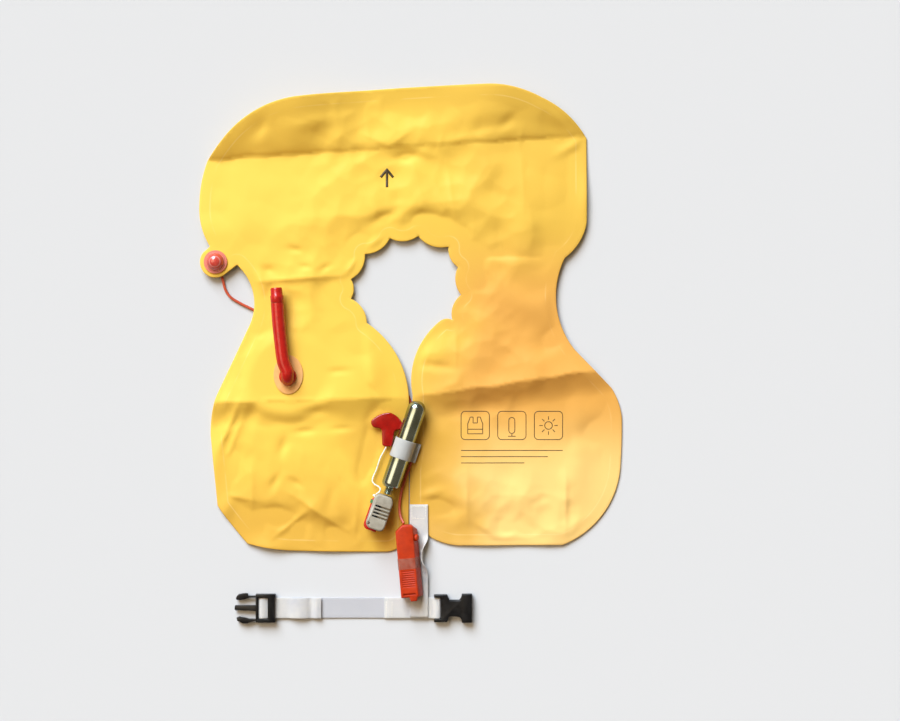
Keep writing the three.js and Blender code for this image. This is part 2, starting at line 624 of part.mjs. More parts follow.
// One ply: a slab over the whole sheet that follows its underside, trimmed to the outline
function ply(underside) {
  const columns = Array.from({ length: SHEET_CELLS.columns + 1 }, (_, i) =>
    lerp(-SHEET.halfWidth, SHEET.halfWidth, i / SHEET_CELLS.columns),
  );
  const grid = columns.map((x) => sheetRows(x).map((y) => new THREE.Vector3(x, y, underside(x, y))));
  const rows = grid[0].length;
  const layer = grid.length * rows;
  const low = grid.flat();
  const high = low.map((p) => new THREE.Vector3(p.x, p.y, p.z + PLY));
  const corner = (i, j, top) => i * rows + j + (top ? layer : 0);
  const faces = [];
  for (let i = 0; i + 1 < grid.length; i++) {
    for (let j = 0; j + 1 < rows; j++) {
      for (const top of [false, true]) {
        const a = corner(i, j, top);
        const b = corner(i + 1, j, top);
        const c = corner(i + 1, j + 1, top);
        const d = corner(i, j + 1, top);
        if (top) faces.push(a, b, c, a, c, d);
        else faces.push(a, c, b, a, d, c);
      }
    }
  }
  const border = gridBorder(grid.length, rows);
  border.forEach(([i, j], k) => {
    const [m, n] = border[(k + 1) % border.length];
    faces.push(corner(i, j, false), corner(m, n, false), corner(m, n, true));
    faces.push(corner(i, j, false), corner(m, n, true), corner(i, j, true));
  });
  const corners = [...low, ...high].flatMap((point) => point.toArray());
  const slab = meshOf(corners, faces);
  const trim = plate(OUTLINE, 3 * OVERCUT).translate(0, 0, -OVERCUT);
  return geometryOf(solidOf(slab).intersect(solidOf(trim)));
}

// Pieces

function lamp() {
  const tabTop = LAMP.baseHeight + 2 * GAP + 2 * PLY;
  const seat = tabTop + GAP;
  const dome = [];
  const hollow = [];
  const { flangeRadius, flangeHeight, domeRadius, domeHeight, wall } = LENS;
  for (let k = 0; k <= DOME_ARCS; k++) {
    const angle = (Math.PI / 2) * (k / DOME_ARCS);
    const across = k === DOME_ARCS ? 0 : Math.cos(angle);
    const up = Math.sin(angle);
    dome.push([domeRadius * across, flangeHeight + domeHeight * up]);
    hollow.push([(domeRadius - wall) * across, flangeHeight + (domeHeight - wall) * up]);
  }
  const rim = [
    [domeRadius - wall, 0],
    [flangeRadius, 0],
    [flangeRadius, flangeHeight],
  ];
  const profile = [...hollow.reverse(), ...rim, ...dome].map(([r, h]) => new THREE.Vector2(r, h));
  const lens = new THREE.LatheGeometry(profile, SIDES).rotateX(Math.PI / 2).translate(LAMP.x, LAMP.y, seat);
  const bulb = new THREE.CapsuleGeometry(BULB.radius, BULB.stem, BULB.arcs, SMALL_SIDES)
    .rotateX(Math.PI / 2)
    .translate(LAMP.x, LAMP.y, seat + BULB.radius + BULB.stem / 2);
  const base = post(LAMP.x, LAMP.y, 0, LAMP.baseHeight, LAMP.baseRadius, FINE_SIDES);
  return [
    part("lamp_base", base, "blackPlastic"),
    part("lamp_lens", lens, "lens"),
    part("lamp_bulb", bulb, "bulb"),
  ];
}

function gasAxisHeight() {
  const turn = degToRad(GAS.turn);
  const probes = [];
  for (let along = CYLINDER.neckEnd + CYLINDER.shoulder; along < CYLINDER.length; along += PROBE_STEP) {
    const fromEnd = CYLINDER.length - along;
    const radius = CYLINDER.radius * Math.sqrt(1 - Math.max(0, 1 - fromEnd / CYLINDER.radius) ** 2);
    for (const share of PROBE_SHARES) {
      const across = share * radius;
      probes.push({
        x: GAS.x + across * Math.cos(turn) - along * Math.sin(turn),
        y: GAS.y + across * Math.sin(turn) + along * Math.cos(turn),
        rise: CYLINDER.radius - Math.sqrt(radius * radius - across * across),
      });
    }
  }
  return restingHeight(probes) + CYLINDER.radius;
}

function cylinderGeometry() {
  const { radius, length, neckRadius, neckStart, neckEnd, shoulder } = CYLINDER;
  const profile = [
    [0, neckStart],
    [neckRadius, neckStart],
    [neckRadius, neckEnd],
  ];
  for (let k = 1; k <= SHOULDER_ARCS; k++) {
    const angle = (Math.PI / 2) * (k / SHOULDER_ARCS);
    const swell = (radius - neckRadius) * Math.sin(angle);
    profile.push([neckRadius + swell, neckEnd + shoulder * (1 - Math.cos(angle))]);
  }
  for (let k = 0; k < DOME_ARCS; k++) {
    const angle = (Math.PI / 2) * (k / DOME_ARCS);
    profile.push([radius * Math.cos(angle), length - radius + radius * Math.sin(angle)]);
  }
  profile.push([0, length]);
  return new THREE.LatheGeometry(profile.map(([r, y]) => new THREE.Vector2(r, y)), FINE_SIDES);
}

// Elastic band over the cylinder, with a foot on the cloth at its left and a free tail over the lead at its
// right
function bandGeometry(axisHeight) {
  const turn = degToRad(GAS.turn);
  const radius = CYLINDER.radius + GAP + BAND.wall / 2;
  const feet = [];
  for (let along = BAND.from; along <= BAND.from + BAND.length; along += BAND.length / 4) {
    for (const across of [-radius - BAND.foot, -radius, radius, radius + BAND.tail]) {
      feet.push({
        x: GAS.x + across * Math.cos(turn) - along * Math.sin(turn),
        y: GAS.y + across * Math.sin(turn) + along * Math.cos(turn),
        rise: 0,
      });
    }
  }
  const foot = restingHeight(feet) - axisHeight + BAND.wall / 2;
  const rows = [
    [-radius - BAND.foot, foot],
    [-radius - 2 * BAND.splay, foot],
    [-radius - BAND.splay, foot / 2],
  ];
  for (let k = BAND_ARCS; k >= 0; k--) {
    const angle = (Math.PI * k) / BAND_ARCS;
    rows.push([radius * Math.cos(angle), radius * Math.sin(angle)]);
  }
  const tail = foot + BAND.tailLift;
  rows.push([radius + BAND.splay, tail / 2], [radius + 2 * BAND.splay, tail], [radius + BAND.tail, tail]);
  const outline = new THREE.Shape(ribbonOutline(rows, BAND.wall));
  const band = new THREE.ExtrudeGeometry(outline, { depth: BAND.length, bevelEnabled: false });
  return band.rotateX(Math.PI / 2).translate(0, BAND.from + BAND.length, 0);
}

function pinHole() {
  return post(PIVOT.x, PIVOT.y, -OVERCUT, OVERCUT, PIN.radius + GAP, SMALL_SIDES);
}

function inflatorBodyGeometry() {
  const { right, halfThick, edge, boreDepth } = BODY;
  const outline = bulgedOutline(BODY_OUTLINE, SMALL_STEP);
  const body = plate(outline, 2 * halfThick, edge).translate(0, 0, -halfThick);
  const neckRadius = CYLINDER.neckRadius + GAP;
  const neckRoom = post(0, 0, -boreDepth, OVERCUT, neckRadius, SIDES).rotateX(-Math.PI / 2);
  const layer = LEVER.halfThick + LEVER_ROOM.layer;
  const sideGroove = block(
    [LEVER.left - OVERCUT, LEVER.bottom - OVERCUT, -layer],
    [LEVER.right + LEVER_ROOM.side, OVERCUT, layer],
  );
  const pocket = post(PIVOT.x, PIVOT.y, -layer, layer, LEVER_ROOM.radius, OVAL_SIDES);
  const vents = Array.from({ length: VENTS.count }, (_, k) => {
    const middle = VENTS.first - k * VENTS.pitch;
    const half = VENTS.width / 2;
    const low = [VENTS.left, middle - half, halfThick - VENTS.depth];
    return block(low, [right + OVERCUT, middle + half, halfThick + OVERCUT]);
  });
  return cutAway(body, [neckRoom, sideGroove, pocket, pinHole(), ...vents]);
}

function leverGeometry() {
  const { halfThick, edge } = LEVER;
  const lever = plate(bulgedOutline(LEVER_OUTLINE, SMALL_STEP), 2 * halfThick, edge);
  return cutAway(lever.translate(0, 0, -halfThick), [pinHole()]);
}

function clipGeometry() {
  const outer = LEVER.left - GAP - CLIP.wall / 2;
  const layer = LEVER.halfThick + GAP + CLIP.wall / 2;
  const rows = [
    [outer + CLIP.reach, layer],
    [outer, layer],
    [outer, -layer],
    [outer + CLIP.reach, -layer],
  ];
  const clip = new THREE.ExtrudeGeometry(new THREE.Shape(ribbonOutline(rows, CLIP.wall)), {
    depth: CLIP.length,
    bevelEnabled: false,
  });
  return clip.rotateX(Math.PI / 2).translate(0, CLIP.from + CLIP.length, 0);
}

function gasGroup() {
  const axisHeight = gasAxisHeight();
  const group = new THREE.Group();
  group.position.set(GAS.x, GAS.y, axisHeight);
  group.rotation.z = degToRad(GAS.turn);
  const knot = new THREE.SphereGeometry(KNOT.radius, SMALL_SIDES, KNOT.rings).translate(KNOT.x, KNOT.y, 0);
  const pin = post(PIVOT.x, PIVOT.y, -PIN.length / 2, PIN.length / 2, PIN.radius, SMALL_SIDES);
  group.add(
    part("co2_cylinder", cylinderGeometry(), "plating"),
    part("cylinder_band", bandGeometry(axisHeight), "whiteWebbing"),
    part("inflator_body", inflatorBodyGeometry(), "greyCasting"),
    part("inflator_lever", leverGeometry(), "redPlastic"),
    part("lever_pin", pin, "steelPin"),
    part("lever_clip", clipGeometry(), "greenPlastic"),
    part("lanyard_knot", knot, "whiteCord"),
  );
  return group;
}

function pullTab() {
  const outline = bulgedOutline(PULL_TAB_OUTLINE, SMALL_STEP);
  const turn = degToRad(PULL_TAB.turn);
  const probes = outline.flatMap((point) =>
    TAB_SHARES.map((share) => ({
      x: PULL_TAB.x + share * (point.x * Math.cos(turn) - point.y * Math.sin(turn)),
      y: PULL_TAB.y + share * (point.x * Math.sin(turn) + point.y * Math.cos(turn)),
      rise: 0,
    })),
  );
  const mesh = part("pull_tab", plate(outline, PULL_TAB.thick, PULL_TAB.edge), "redPlastic");
  mesh.position.set(PULL_TAB.x, PULL_TAB.y, restingHeight(probes));
  mesh.rotation.z = turn;
  return mesh;
}

function mouthTube() {
  const oval = Array.from({ length: OVAL_SIDES }, (_, k) => {
    const angle = (2 * Math.PI * k) / OVAL_SIDES;
    return new THREE.Vector2(FLANGE.halfWidth * Math.cos(angle), FLANGE.halfLength * Math.sin(angle));
  });
  const probes = oval.map((point) => ({ x: FLANGE.x + point.x, y: FLANGE.y + point.y, rise: 0 }));
  const flangeFoot = restingHeight(probes);
  const seat = flangeFoot + FLANGE.thick + GAP;
  const route = TUBE_ROUTE.map(({ x, y, rise }) => new THREE.Vector3(x, y, seat + rise));
  const path = new THREE.CatmullRomCurve3(route);
  const profile = MOUTHPIECE_PROFILE.map(({ radius, height }) => new THREE.Vector2(radius, height));
  const mouthpiece = part("oral_mouthpiece", new THREE.LatheGeometry(profile, SMALL_SIDES), "redPlastic");
  mouthpiece.position.copy(path.getPoint(1));
  mouthpiece.quaternion.setFromUnitVectors(new THREE.Vector3(0, 1, 0), path.getTangent(1));
  return [
    part("oral_flange", plate(oval, FLANGE.thick).translate(FLANGE.x, FLANGE.y, flangeFoot), "patch"),
    part("oral_tube", roundTube(path), "redPlastic"),
    mouthpiece,
  ];
}

// A tube whose first ring lies flat on the flange
function roundTube(path) {
  const rings = [];
  for (let k = 0; k <= TUBE_STEPS; k++) {
    const share = k / TUBE_STEPS;
    const middle = path.getPoint(share);
    const along = k === 0 ? new THREE.Vector3(0, 0, 1) : path.getTangent(share);
    const side = new THREE.Vector3(1, 0, 0).addScaledVector(along, -along.x).normalize();
    const upper = new THREE.Vector3().crossVectors(along, side);
    rings.push(
      Array.from({ length: SMALL_SIDES }, (_, i) => {
        const angle = (2 * Math.PI * i) / SMALL_SIDES;
        return middle
          .clone()
          .addScaledVector(side, TUBE_RADIUS * Math.cos(angle))
          .addScaledVector(upper, TUBE_RADIUS * Math.sin(angle));
      }),
    );
  }
  return loft(rings);
}

// The battery's cross section grown by a margin, with its right side sloping in towards the face
function batterySection(margin) {
  const { halfWidth, thick } = BATTERY;
  const { topX, footZ } = BATTERY_SLOPE;
  const slope = new THREE.Vector2(topX - halfWidth, thick - footZ).normalize();
  const footRise = (margin * (1 - slope.y)) / -slope.x;
  const topReach = (margin * (1 + slope.x)) / slope.y;
  return [
    new THREE.Vector2(-halfWidth - margin, -margin),
    new THREE.Vector2(halfWidth + margin, -margin),
    new THREE.Vector2(halfWidth + margin, footZ + footRise),
    new THREE.Vector2(topX + topReach, thick + margin),
    new THREE.Vector2(-halfWidth - margin, thick + margin),
  ];
}

function alongBattery(section, from, length) {
  const bar = new THREE.ExtrudeGeometry(new THREE.Shape(section), { depth: length, bevelEnabled: false });
  return bar.rotateX(Math.PI / 2).translate(0, from + length, 0);
}

// A groove across the battery's face
function faceGroove(y, { left, right, width, depth }) {
  const top = BATTERY.thick;
  return block([left, y - width / 2, top - depth], [right, y + width / 2, top + OVERCUT]);
}

function batteryCaseGeometry() {
  const { length, halfWidth, thick, edge } = BATTERY;
  const { chamfer, crownLeft, crownRight, crownDrop } = BATTERY_END;
  const { left, right, taper } = BATTERY_TAB;
  const corners = [
    [-halfWidth, 0],
    [left, 0],
    [left + taper, -BATTERY_TAB.length],
    [right - taper, -BATTERY_TAB.length],
    [right, 0],
    [halfWidth, 0],
    [halfWidth, length - chamfer],
    [crownRight, length - crownDrop],
    [crownLeft, length],
    [-halfWidth, length - chamfer],
  ].map(([x, y]) => new THREE.Vector2(x, y));
  const raw = plate(corners, thick, edge);
  const within = alongBattery(batterySection(0), -OVERCUT, length + 2 * OVERCUT);
  const trimmed = geometryOf(solidOf(raw).intersect(solidOf(within)));
  const { count, first, pitch } = BATTERY_RIBS;
  const ribs = Array.from({ length: count }, (_, k) => faceGroove(first + k * pitch, BATTERY_RIBS));
  return cutAway(trimmed, [faceGroove(BATTERY_SLOT.y, BATTERY_SLOT), ...ribs]);
}

function plugGeometry() {
  const { halfWidth, thick } = BATTERY;
  const { topX, footZ } = BATTERY_SLOPE;
  const lean = Math.atan2(halfWidth - topX, thick - footZ);
  const profile = [
    [0, GAP],
    [PLUG.radius, GAP],
    [PLUG.radius, PLUG.length - PLUG.edge],
    [PLUG.radius - PLUG.edge, PLUG.length],
    [0, PLUG.length],
  ].map(([r, h]) => new THREE.Vector2(r, h));
  const plug = new THREE.LatheGeometry(profile, SMALL_SIDES).rotateZ(-Math.PI / 2).rotateY(-lean);
  return plug.translate((halfWidth + topX) / 2, PLUG.y, (thick + footZ) / 2);
}

function battery() {
  const group = new THREE.Group();
  group.position.set(BATTERY.x, BATTERY.y, BATTERY.z);
  group.rotation.z = degToRad(BATTERY.turn);
  const sleeve = alongBattery(batterySection(GAP + TAPE.wall), TAPE.from, TAPE.length);
  const room = alongBattery(batterySection(GAP), TAPE.from - OVERCUT, TAPE.length + 2 * OVERCUT);
  group.add(
    part("battery_case", batteryCaseGeometry(), "orangePlastic"),
    part("battery_plug", plugGeometry(), "orangePlastic"),
    part("battery_tape", cutAway(sleeve, [room]), "tape"),
  );
  return group;
}

function dropStrap() {
  const half = STRAP_WIDTH / 2;
  const rings = STRAP_ROUTE.map(({ x, y, z, roll }) => {
    const turn = degToRad(roll);
    const corners = [
      [-half, -WEBBING / 2],
      [half, -WEBBING / 2],
      [half, WEBBING / 2],
      [-half, WEBBING / 2],
    ];
    return corners.map(([across, up]) => {
      const sideways = across * Math.cos(turn) - up * Math.sin(turn);
      const upward = across * Math.sin(turn) + up * Math.cos(turn);
      return new THREE.Vector3(x + sideways, y, z + upward);
    });
  });
  return part("drop_strap", loft(rings), "whiteWebbing");
}

function beltGeometry() {
  const rows = BELT_ROUTE.map(({ x, z }) => [x, z]);
  const outline = new THREE.Shape(ribbonOutline(rows, WEBBING));
  const belt = new THREE.ExtrudeGeometry(outline, { depth: BELT.width, bevelEnabled: false });
  return belt.rotateX(Math.PI / 2).translate(0, BELT.width / 2, 0);
}

function maleGeometry() {
  const { length, halfWidth, rail, wall, height } = MALE;
  const railIn = halfWidth - rail;
  const ring = cutAway(block([0, -halfWidth, 0], [length, halfWidth, height]), [
    block([wall, -railIn, -OVERCUT], [length + OVERCUT, railIn, height + OVERCUT]),
  ]);
  const bars = MALE_BARS.map(({ from, to, low, high }) =>
    block([from, -railIn - ROOT, low], [to, railIn + ROOT, high]),
  );
  const arm = bulgedOutline(ARM_OUTLINE, SMALL_STEP);
  const mirrored = arm.map((p) => new THREE.Vector2(p.x, -p.y)).reverse();
  const side = PRONG.halfWidth;
  const prongEnd = PRONG.round - PRONG.length;
  const prong = bulgedOutline(
    [
      { at: "root, lower", x: ROOT, y: -side, bulge: 0 },
      { at: "root, upper", x: ROOT, y: side, bulge: 0 },
      { at: "end, upper", x: prongEnd, y: side, bulge: 0.3 },
      { at: "end, lower", x: prongEnd, y: -side, bulge: 0 },
    ],
    SMALL_STEP,
  );
  const teeth = [arm, mirrored, prong].map((outline) =>
    plate(outline, PRONG.thick, PRONG.edge).translate(0, 0, PRONG.low),
  );
  return joined([ring, ...bars, ...teeth]);
}

function femaleGeometry() {
  const { height, wall, edge, railHalf } = FEMALE;
  const shell = plate(bulgedOutline(FEMALE_OUTLINE, SMALL_STEP), height, edge);
  const socket = block(
    [SOCKET.from, -SOCKET.halfWidth, wall],
    [SOCKET.mouth + OVERCUT, SOCKET.halfWidth, height - wall],
  );
  const webbingRoom = block([-OVERCUT, -railHalf, -OVERCUT], [0, railHalf, height + OVERCUT]);
  const open = cutAway(shell, [socket, webbingRoom]);
  const { from, to, low, high } = FEMALE_BAR;
  return joined([open, block([from, -railHalf - ROOT, low], [to, railHalf + ROOT, high])]);
}

function belt() {
  const group = new THREE.Group();
  group.position.y = BELT.y;
  const male = part("buckle_male", maleGeometry(), "blackPlastic");
  male.position.x = MALE.x;
  const female = part("buckle_female", femaleGeometry(), "blackPlastic");
  female.position.x = FEMALE.x;
  group.add(part("belt_webbing", beltGeometry(), "whiteWebbing"), male, female);
  return group;
}

const vest = new THREE.Group();
vest.add(
  part("back_panel", ply(backUnderside), "clothBack"),
  part("front_panel", ply(frontUnderside), "clothFront"),
  ...lamp(),
  part("lamp_lead", cord(LEAD_ROUTE, LEAD_DIAMETER, LEAD_STEPS), "redLead"),
  gasGroup(),
  pullTab(),
  part("pull_lanyard", cord(LANYARD_ROUTE, LANYARD_DIAMETER, LANYARD_STEPS), "whiteCord"),
  ...mouthTube(),
  battery(),
  dropStrap(),
  belt(),
);

export default vest;
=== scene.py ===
"""Looks of an aircraft life vest that lies flat, front side up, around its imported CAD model.

Lengths in the tables are millimetres and angles are degrees. MM turns millimetres into Blender's metres.
"""

import cmath
import math
from collections import namedtuple

import bmesh
import bpy
import numpy as np
from mathutils import Matrix, Vector, geometry, noise
from mathutils.bvhtree import BVHTree
from mathutils.kdtree import KDTree


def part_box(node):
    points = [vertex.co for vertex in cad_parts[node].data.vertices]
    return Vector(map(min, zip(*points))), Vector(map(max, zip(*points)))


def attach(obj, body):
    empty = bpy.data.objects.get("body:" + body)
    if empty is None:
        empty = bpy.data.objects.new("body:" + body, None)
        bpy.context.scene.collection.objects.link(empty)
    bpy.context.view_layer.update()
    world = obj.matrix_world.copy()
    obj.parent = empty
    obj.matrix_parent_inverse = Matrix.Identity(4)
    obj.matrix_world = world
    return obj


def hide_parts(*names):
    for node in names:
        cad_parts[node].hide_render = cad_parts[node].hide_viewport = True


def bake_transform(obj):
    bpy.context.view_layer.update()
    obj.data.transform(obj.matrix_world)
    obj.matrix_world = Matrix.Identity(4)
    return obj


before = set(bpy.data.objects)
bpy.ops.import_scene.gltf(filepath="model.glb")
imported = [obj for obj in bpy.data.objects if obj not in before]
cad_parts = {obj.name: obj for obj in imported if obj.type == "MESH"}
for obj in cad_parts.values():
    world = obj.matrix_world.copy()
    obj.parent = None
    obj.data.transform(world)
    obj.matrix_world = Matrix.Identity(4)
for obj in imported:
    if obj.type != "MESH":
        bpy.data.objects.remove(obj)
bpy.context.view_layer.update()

MM = 0.001
UP = Vector((0, 0, 1))

# Camera straight above the vest, floor and light
CAMERA = {"x": 47.7, "y": -6, "height": 2408, "lens": 80, "sensor": 36}
FLOOR = {"half": 30000, "depth": 0.3, "colour": 0xCBCBCB, "roughness": 0.9, "specular": 0.1}
SUN = {"towards": (-0.35, 0.8, 0.66), "strength": 4.6, "angle": 40, "colour": (0.96, 1.1, 1.27)}
# The sky is bright where the cosine of the angle to its bright patch is above edge, most so above core
SKY = {"towards": (-0.48, 0.17, 0.87), "colour": (1, 0.78, 0.52, 1), "edge": 0.89, "core": 0.985}
SKY_LIGHT = {"dim": 0.2, "bright": 3.4}

# Cloth
PLY = 1.2  # thickness of each ply
GAP = 0.3  # between the plies, away from the weld
WELD_WIDTH = 13  # rim where the plies are welded flat
SLACK = 2.6  # air between the plies, away from the weld
SLACK_RUN = 45  # distance from the weld over which the slack grows
MIDDLE_LIFT = 4.5  # height at which the creases hold the middle
FRONT_STEP = 2.6  # spacing of the front ply's corners
BACK_STEP = 5  # and of the back ply's
RIM_ROUND = 0.8  # how far in the rim is rounded
RIM_DROP = 0.35  # and how far it is rounded down
CLEARANCE = 0.25  # under a piece that lies on the cloth
CLEAR_RUN = 10  # folds fade out over this distance from such a piece
FAR_ABOVE = 1000.0  # height of what lies over the cloth where nothing does
WRINKLE_RUN = {"from": 2, "to": 16}  # the wrinkles grow over these distances from the rim
CREASE_ROOM = 0.6  # room left beside the creases in the net of corners, by its spacing
RIM_ROOM = 0.5  # and beside the rim

# Outline of the vest, counterclockwise. A run bends by its bulge: the tangent of a quarter of its angle.
Corner = namedtuple("Corner", "x y bulge")
SLIT_EDGE = [Corner(-27, -236, 0.35), Corner(-2, -211, 0), Corner(-1.5, -55, 0.25)]
NECK_CENTRE = (-5.1, 84.6)
SCALLOP_BULGE = 0.3
Cusp = namedtuple("Cusp", "turn radius")
SCALLOP_CUSPS = [
    Cusp(224, 65.4),
    Cusp(194, 68.2),
    Cusp(174, 66.4),
    Cusp(143, 61.7),
    Cusp(109, 59.5),
    Cusp(76, 60.5),
    Cusp(42, 68.7),
    Cusp(19, 66),
    Cusp(-10, 67.1),
    Cusp(-37, 69.4),
]
OUTER_EDGE = [
    Corner(35.7, 41.4, 0.28),
    Corner(2.7, -47.4, 0),
    Corner(2.7, -116, 0),
    Corner(-0.7, -138, 0),
    Corner(-0.7, -187, 0.13),
    Corner(26, -219.6, 0.11),
    Corner(58, -228.6, 0),
    Corner(183, -228, 0.3),
    Corner(253, -131, 0.02),
    Corner(254.5, -75, 0.12),
    Corner(242, -39, 0),
    Corner(197.7, 6.6, -0.29),
    Corner(185.7, 117, 0.2),
    Corner(212, 160, 0),
    Corner(212, 261, 0.156),
    Corner(157, 309, 0.117),
    Corner(95.7, 325, 0.03),
    Corner(-132, 309, 0.178),
    Corner(-218.7, 265.8, 0.04),
    Corner(-244, 234, 0.087),
    Corner(-253.5, 181.8, 0.155),
    Corner(-240.3, 130.8, 0),
    Corner(-248.6, 123.4, 0.84),
    Corner(-223.5, 96.5, 0),
    Corner(-207.9, 108.6, -0.32),
    Corner(-192.3, 37.8, 0),
    Corner(-231.9, -47.4, 0.097),
    Corner(-240.3, -95.4, 0),
    Corner(-231.9, -180.6, 0.03),
    Corner(-195.9, -226.2, 0.05),
    Corner(-144, -234.6, 0.01),
]
# The cloth's tints: middle and right are partly its own colour and partly painted shade where the light
# falls off, the waist tint is a painted orange reflection, the low tint is painted light, the shade tint is
# painted shade, and the line is the weld line
FRONT_COLOURS = {
    "left": 0xEEC250,
    "middle": 0xE6BC4B,
    "right": 0xDCB248,
    "painted_waist_reflection": 0xD89E4B,
    "low": 0xEFC677,
    "painted_shade": 0xCC9B3C,
    "line": 0xFFF0B4,
    "roughness": 0.5,
}
# The back ply's tints, with the same painted light and shade in the same roles
BACK_COLOURS = {
    "left": 0xDDB650,
    "middle": 0xD6B04C,
    "right": 0xCCA648,
    "painted_waist_reflection": 0xCC9A4A,
    "low": 0xD6AC60,
    "painted_shade": 0xC29438,
    "line": 0xEBD89C,
    "roughness": 0.55,
}
CLOTH_SPECULAR = 0.12
# The cloth's colours change over these stretches: of x for middle and right, of y for the waist tint and the
# low tint. The darker middle and right are partly the cloth's own tint and partly painted shade where the
# light falls off; the waist tint is a painted warm orange reflection and the low tint is painted light
COLOUR_RUNS = {"middle": (-160, 20), "right": (-20, 110), "painted_waist_reflection": (170, 50), "low": (-50, -150)}
# Painted shade: the cloth is darker and more golden near the slit and low on the left lobe, by these shares
PAINTED_SHADE_SLIT = {"near": (30, 100), "below": (-40, -100), "share": 0.7}
PAINTED_SHADE_LEFT = {"across": (-20, -100), "below": (-100, -210), "share": 0.75}
# A faint line along the weld shows most up to its core, and ends at its edge
WELD_LINE = {"core": 0.2, "edge": 1.1, "share": 0.16}
# Box round the outline, which the net of corners fills
SHEET = {"left": -258, "right": 258, "bottom": -240, "top": 328}
NET_LIMIT = 1e-4  # corners of the net that are closer than this are one
INSIDE_ONLY = 1  # the kind of net that keeps only what is inside the outline

# Packing creases across the vest, by their y at x = 0. The lower one is a ridge, the upper one a valley.
Crease = namedtuple("Crease", "level slope_left slope_right height run_above run_below")
LOWER_CREASE = Crease(-50, 0.025, 0.145, 5, 75, 32)
UPPER_CREASE = Crease(250, 0.0635, 0.0635, 0, 0, 90)
CREASES = (LOWER_CREASE, UPPER_CREASE)
CREASE_WAVER = {"size": 2.2, "length": 30}
# The flap above the upper crease rises at three slopes: left, in a flatter middle stretch, and right
FLAP = {
    "left": 58, "middle": 16, "right": 38,
    "x": -8, "flat": 35, "turn": 130, "run": 110,
    "lip": 1.5, "lip_run": 3,
}
# The front ply stands up along the lower crease, more so right of the slit
CREASE_LIP = {"height": 3, "left_share": 0.45, "left": -10, "right": 30, "run_above": 45, "run_below": 11}
# The cloth is level under the mouth tube's patch
SEAT = {"x": -146, "y": -22.9, "radius": 40, "fade": 20}
# The lower crease is lower where it crosses the slit
CREASE_SAG = {"x": -5, "width": 60, "keep": 0.25}
# The cloth lies low where the lanyard swings with the lever
SWEEP = {"x": -62, "y": -150, "radius": 42, "fade": 26, "height": 5}
# The tab at the left shoulder lies on the lamp's base
LAMP = {"x": -233.5, "y": 112.2, "base": 6.3, "radius": 34, "fade": 30}

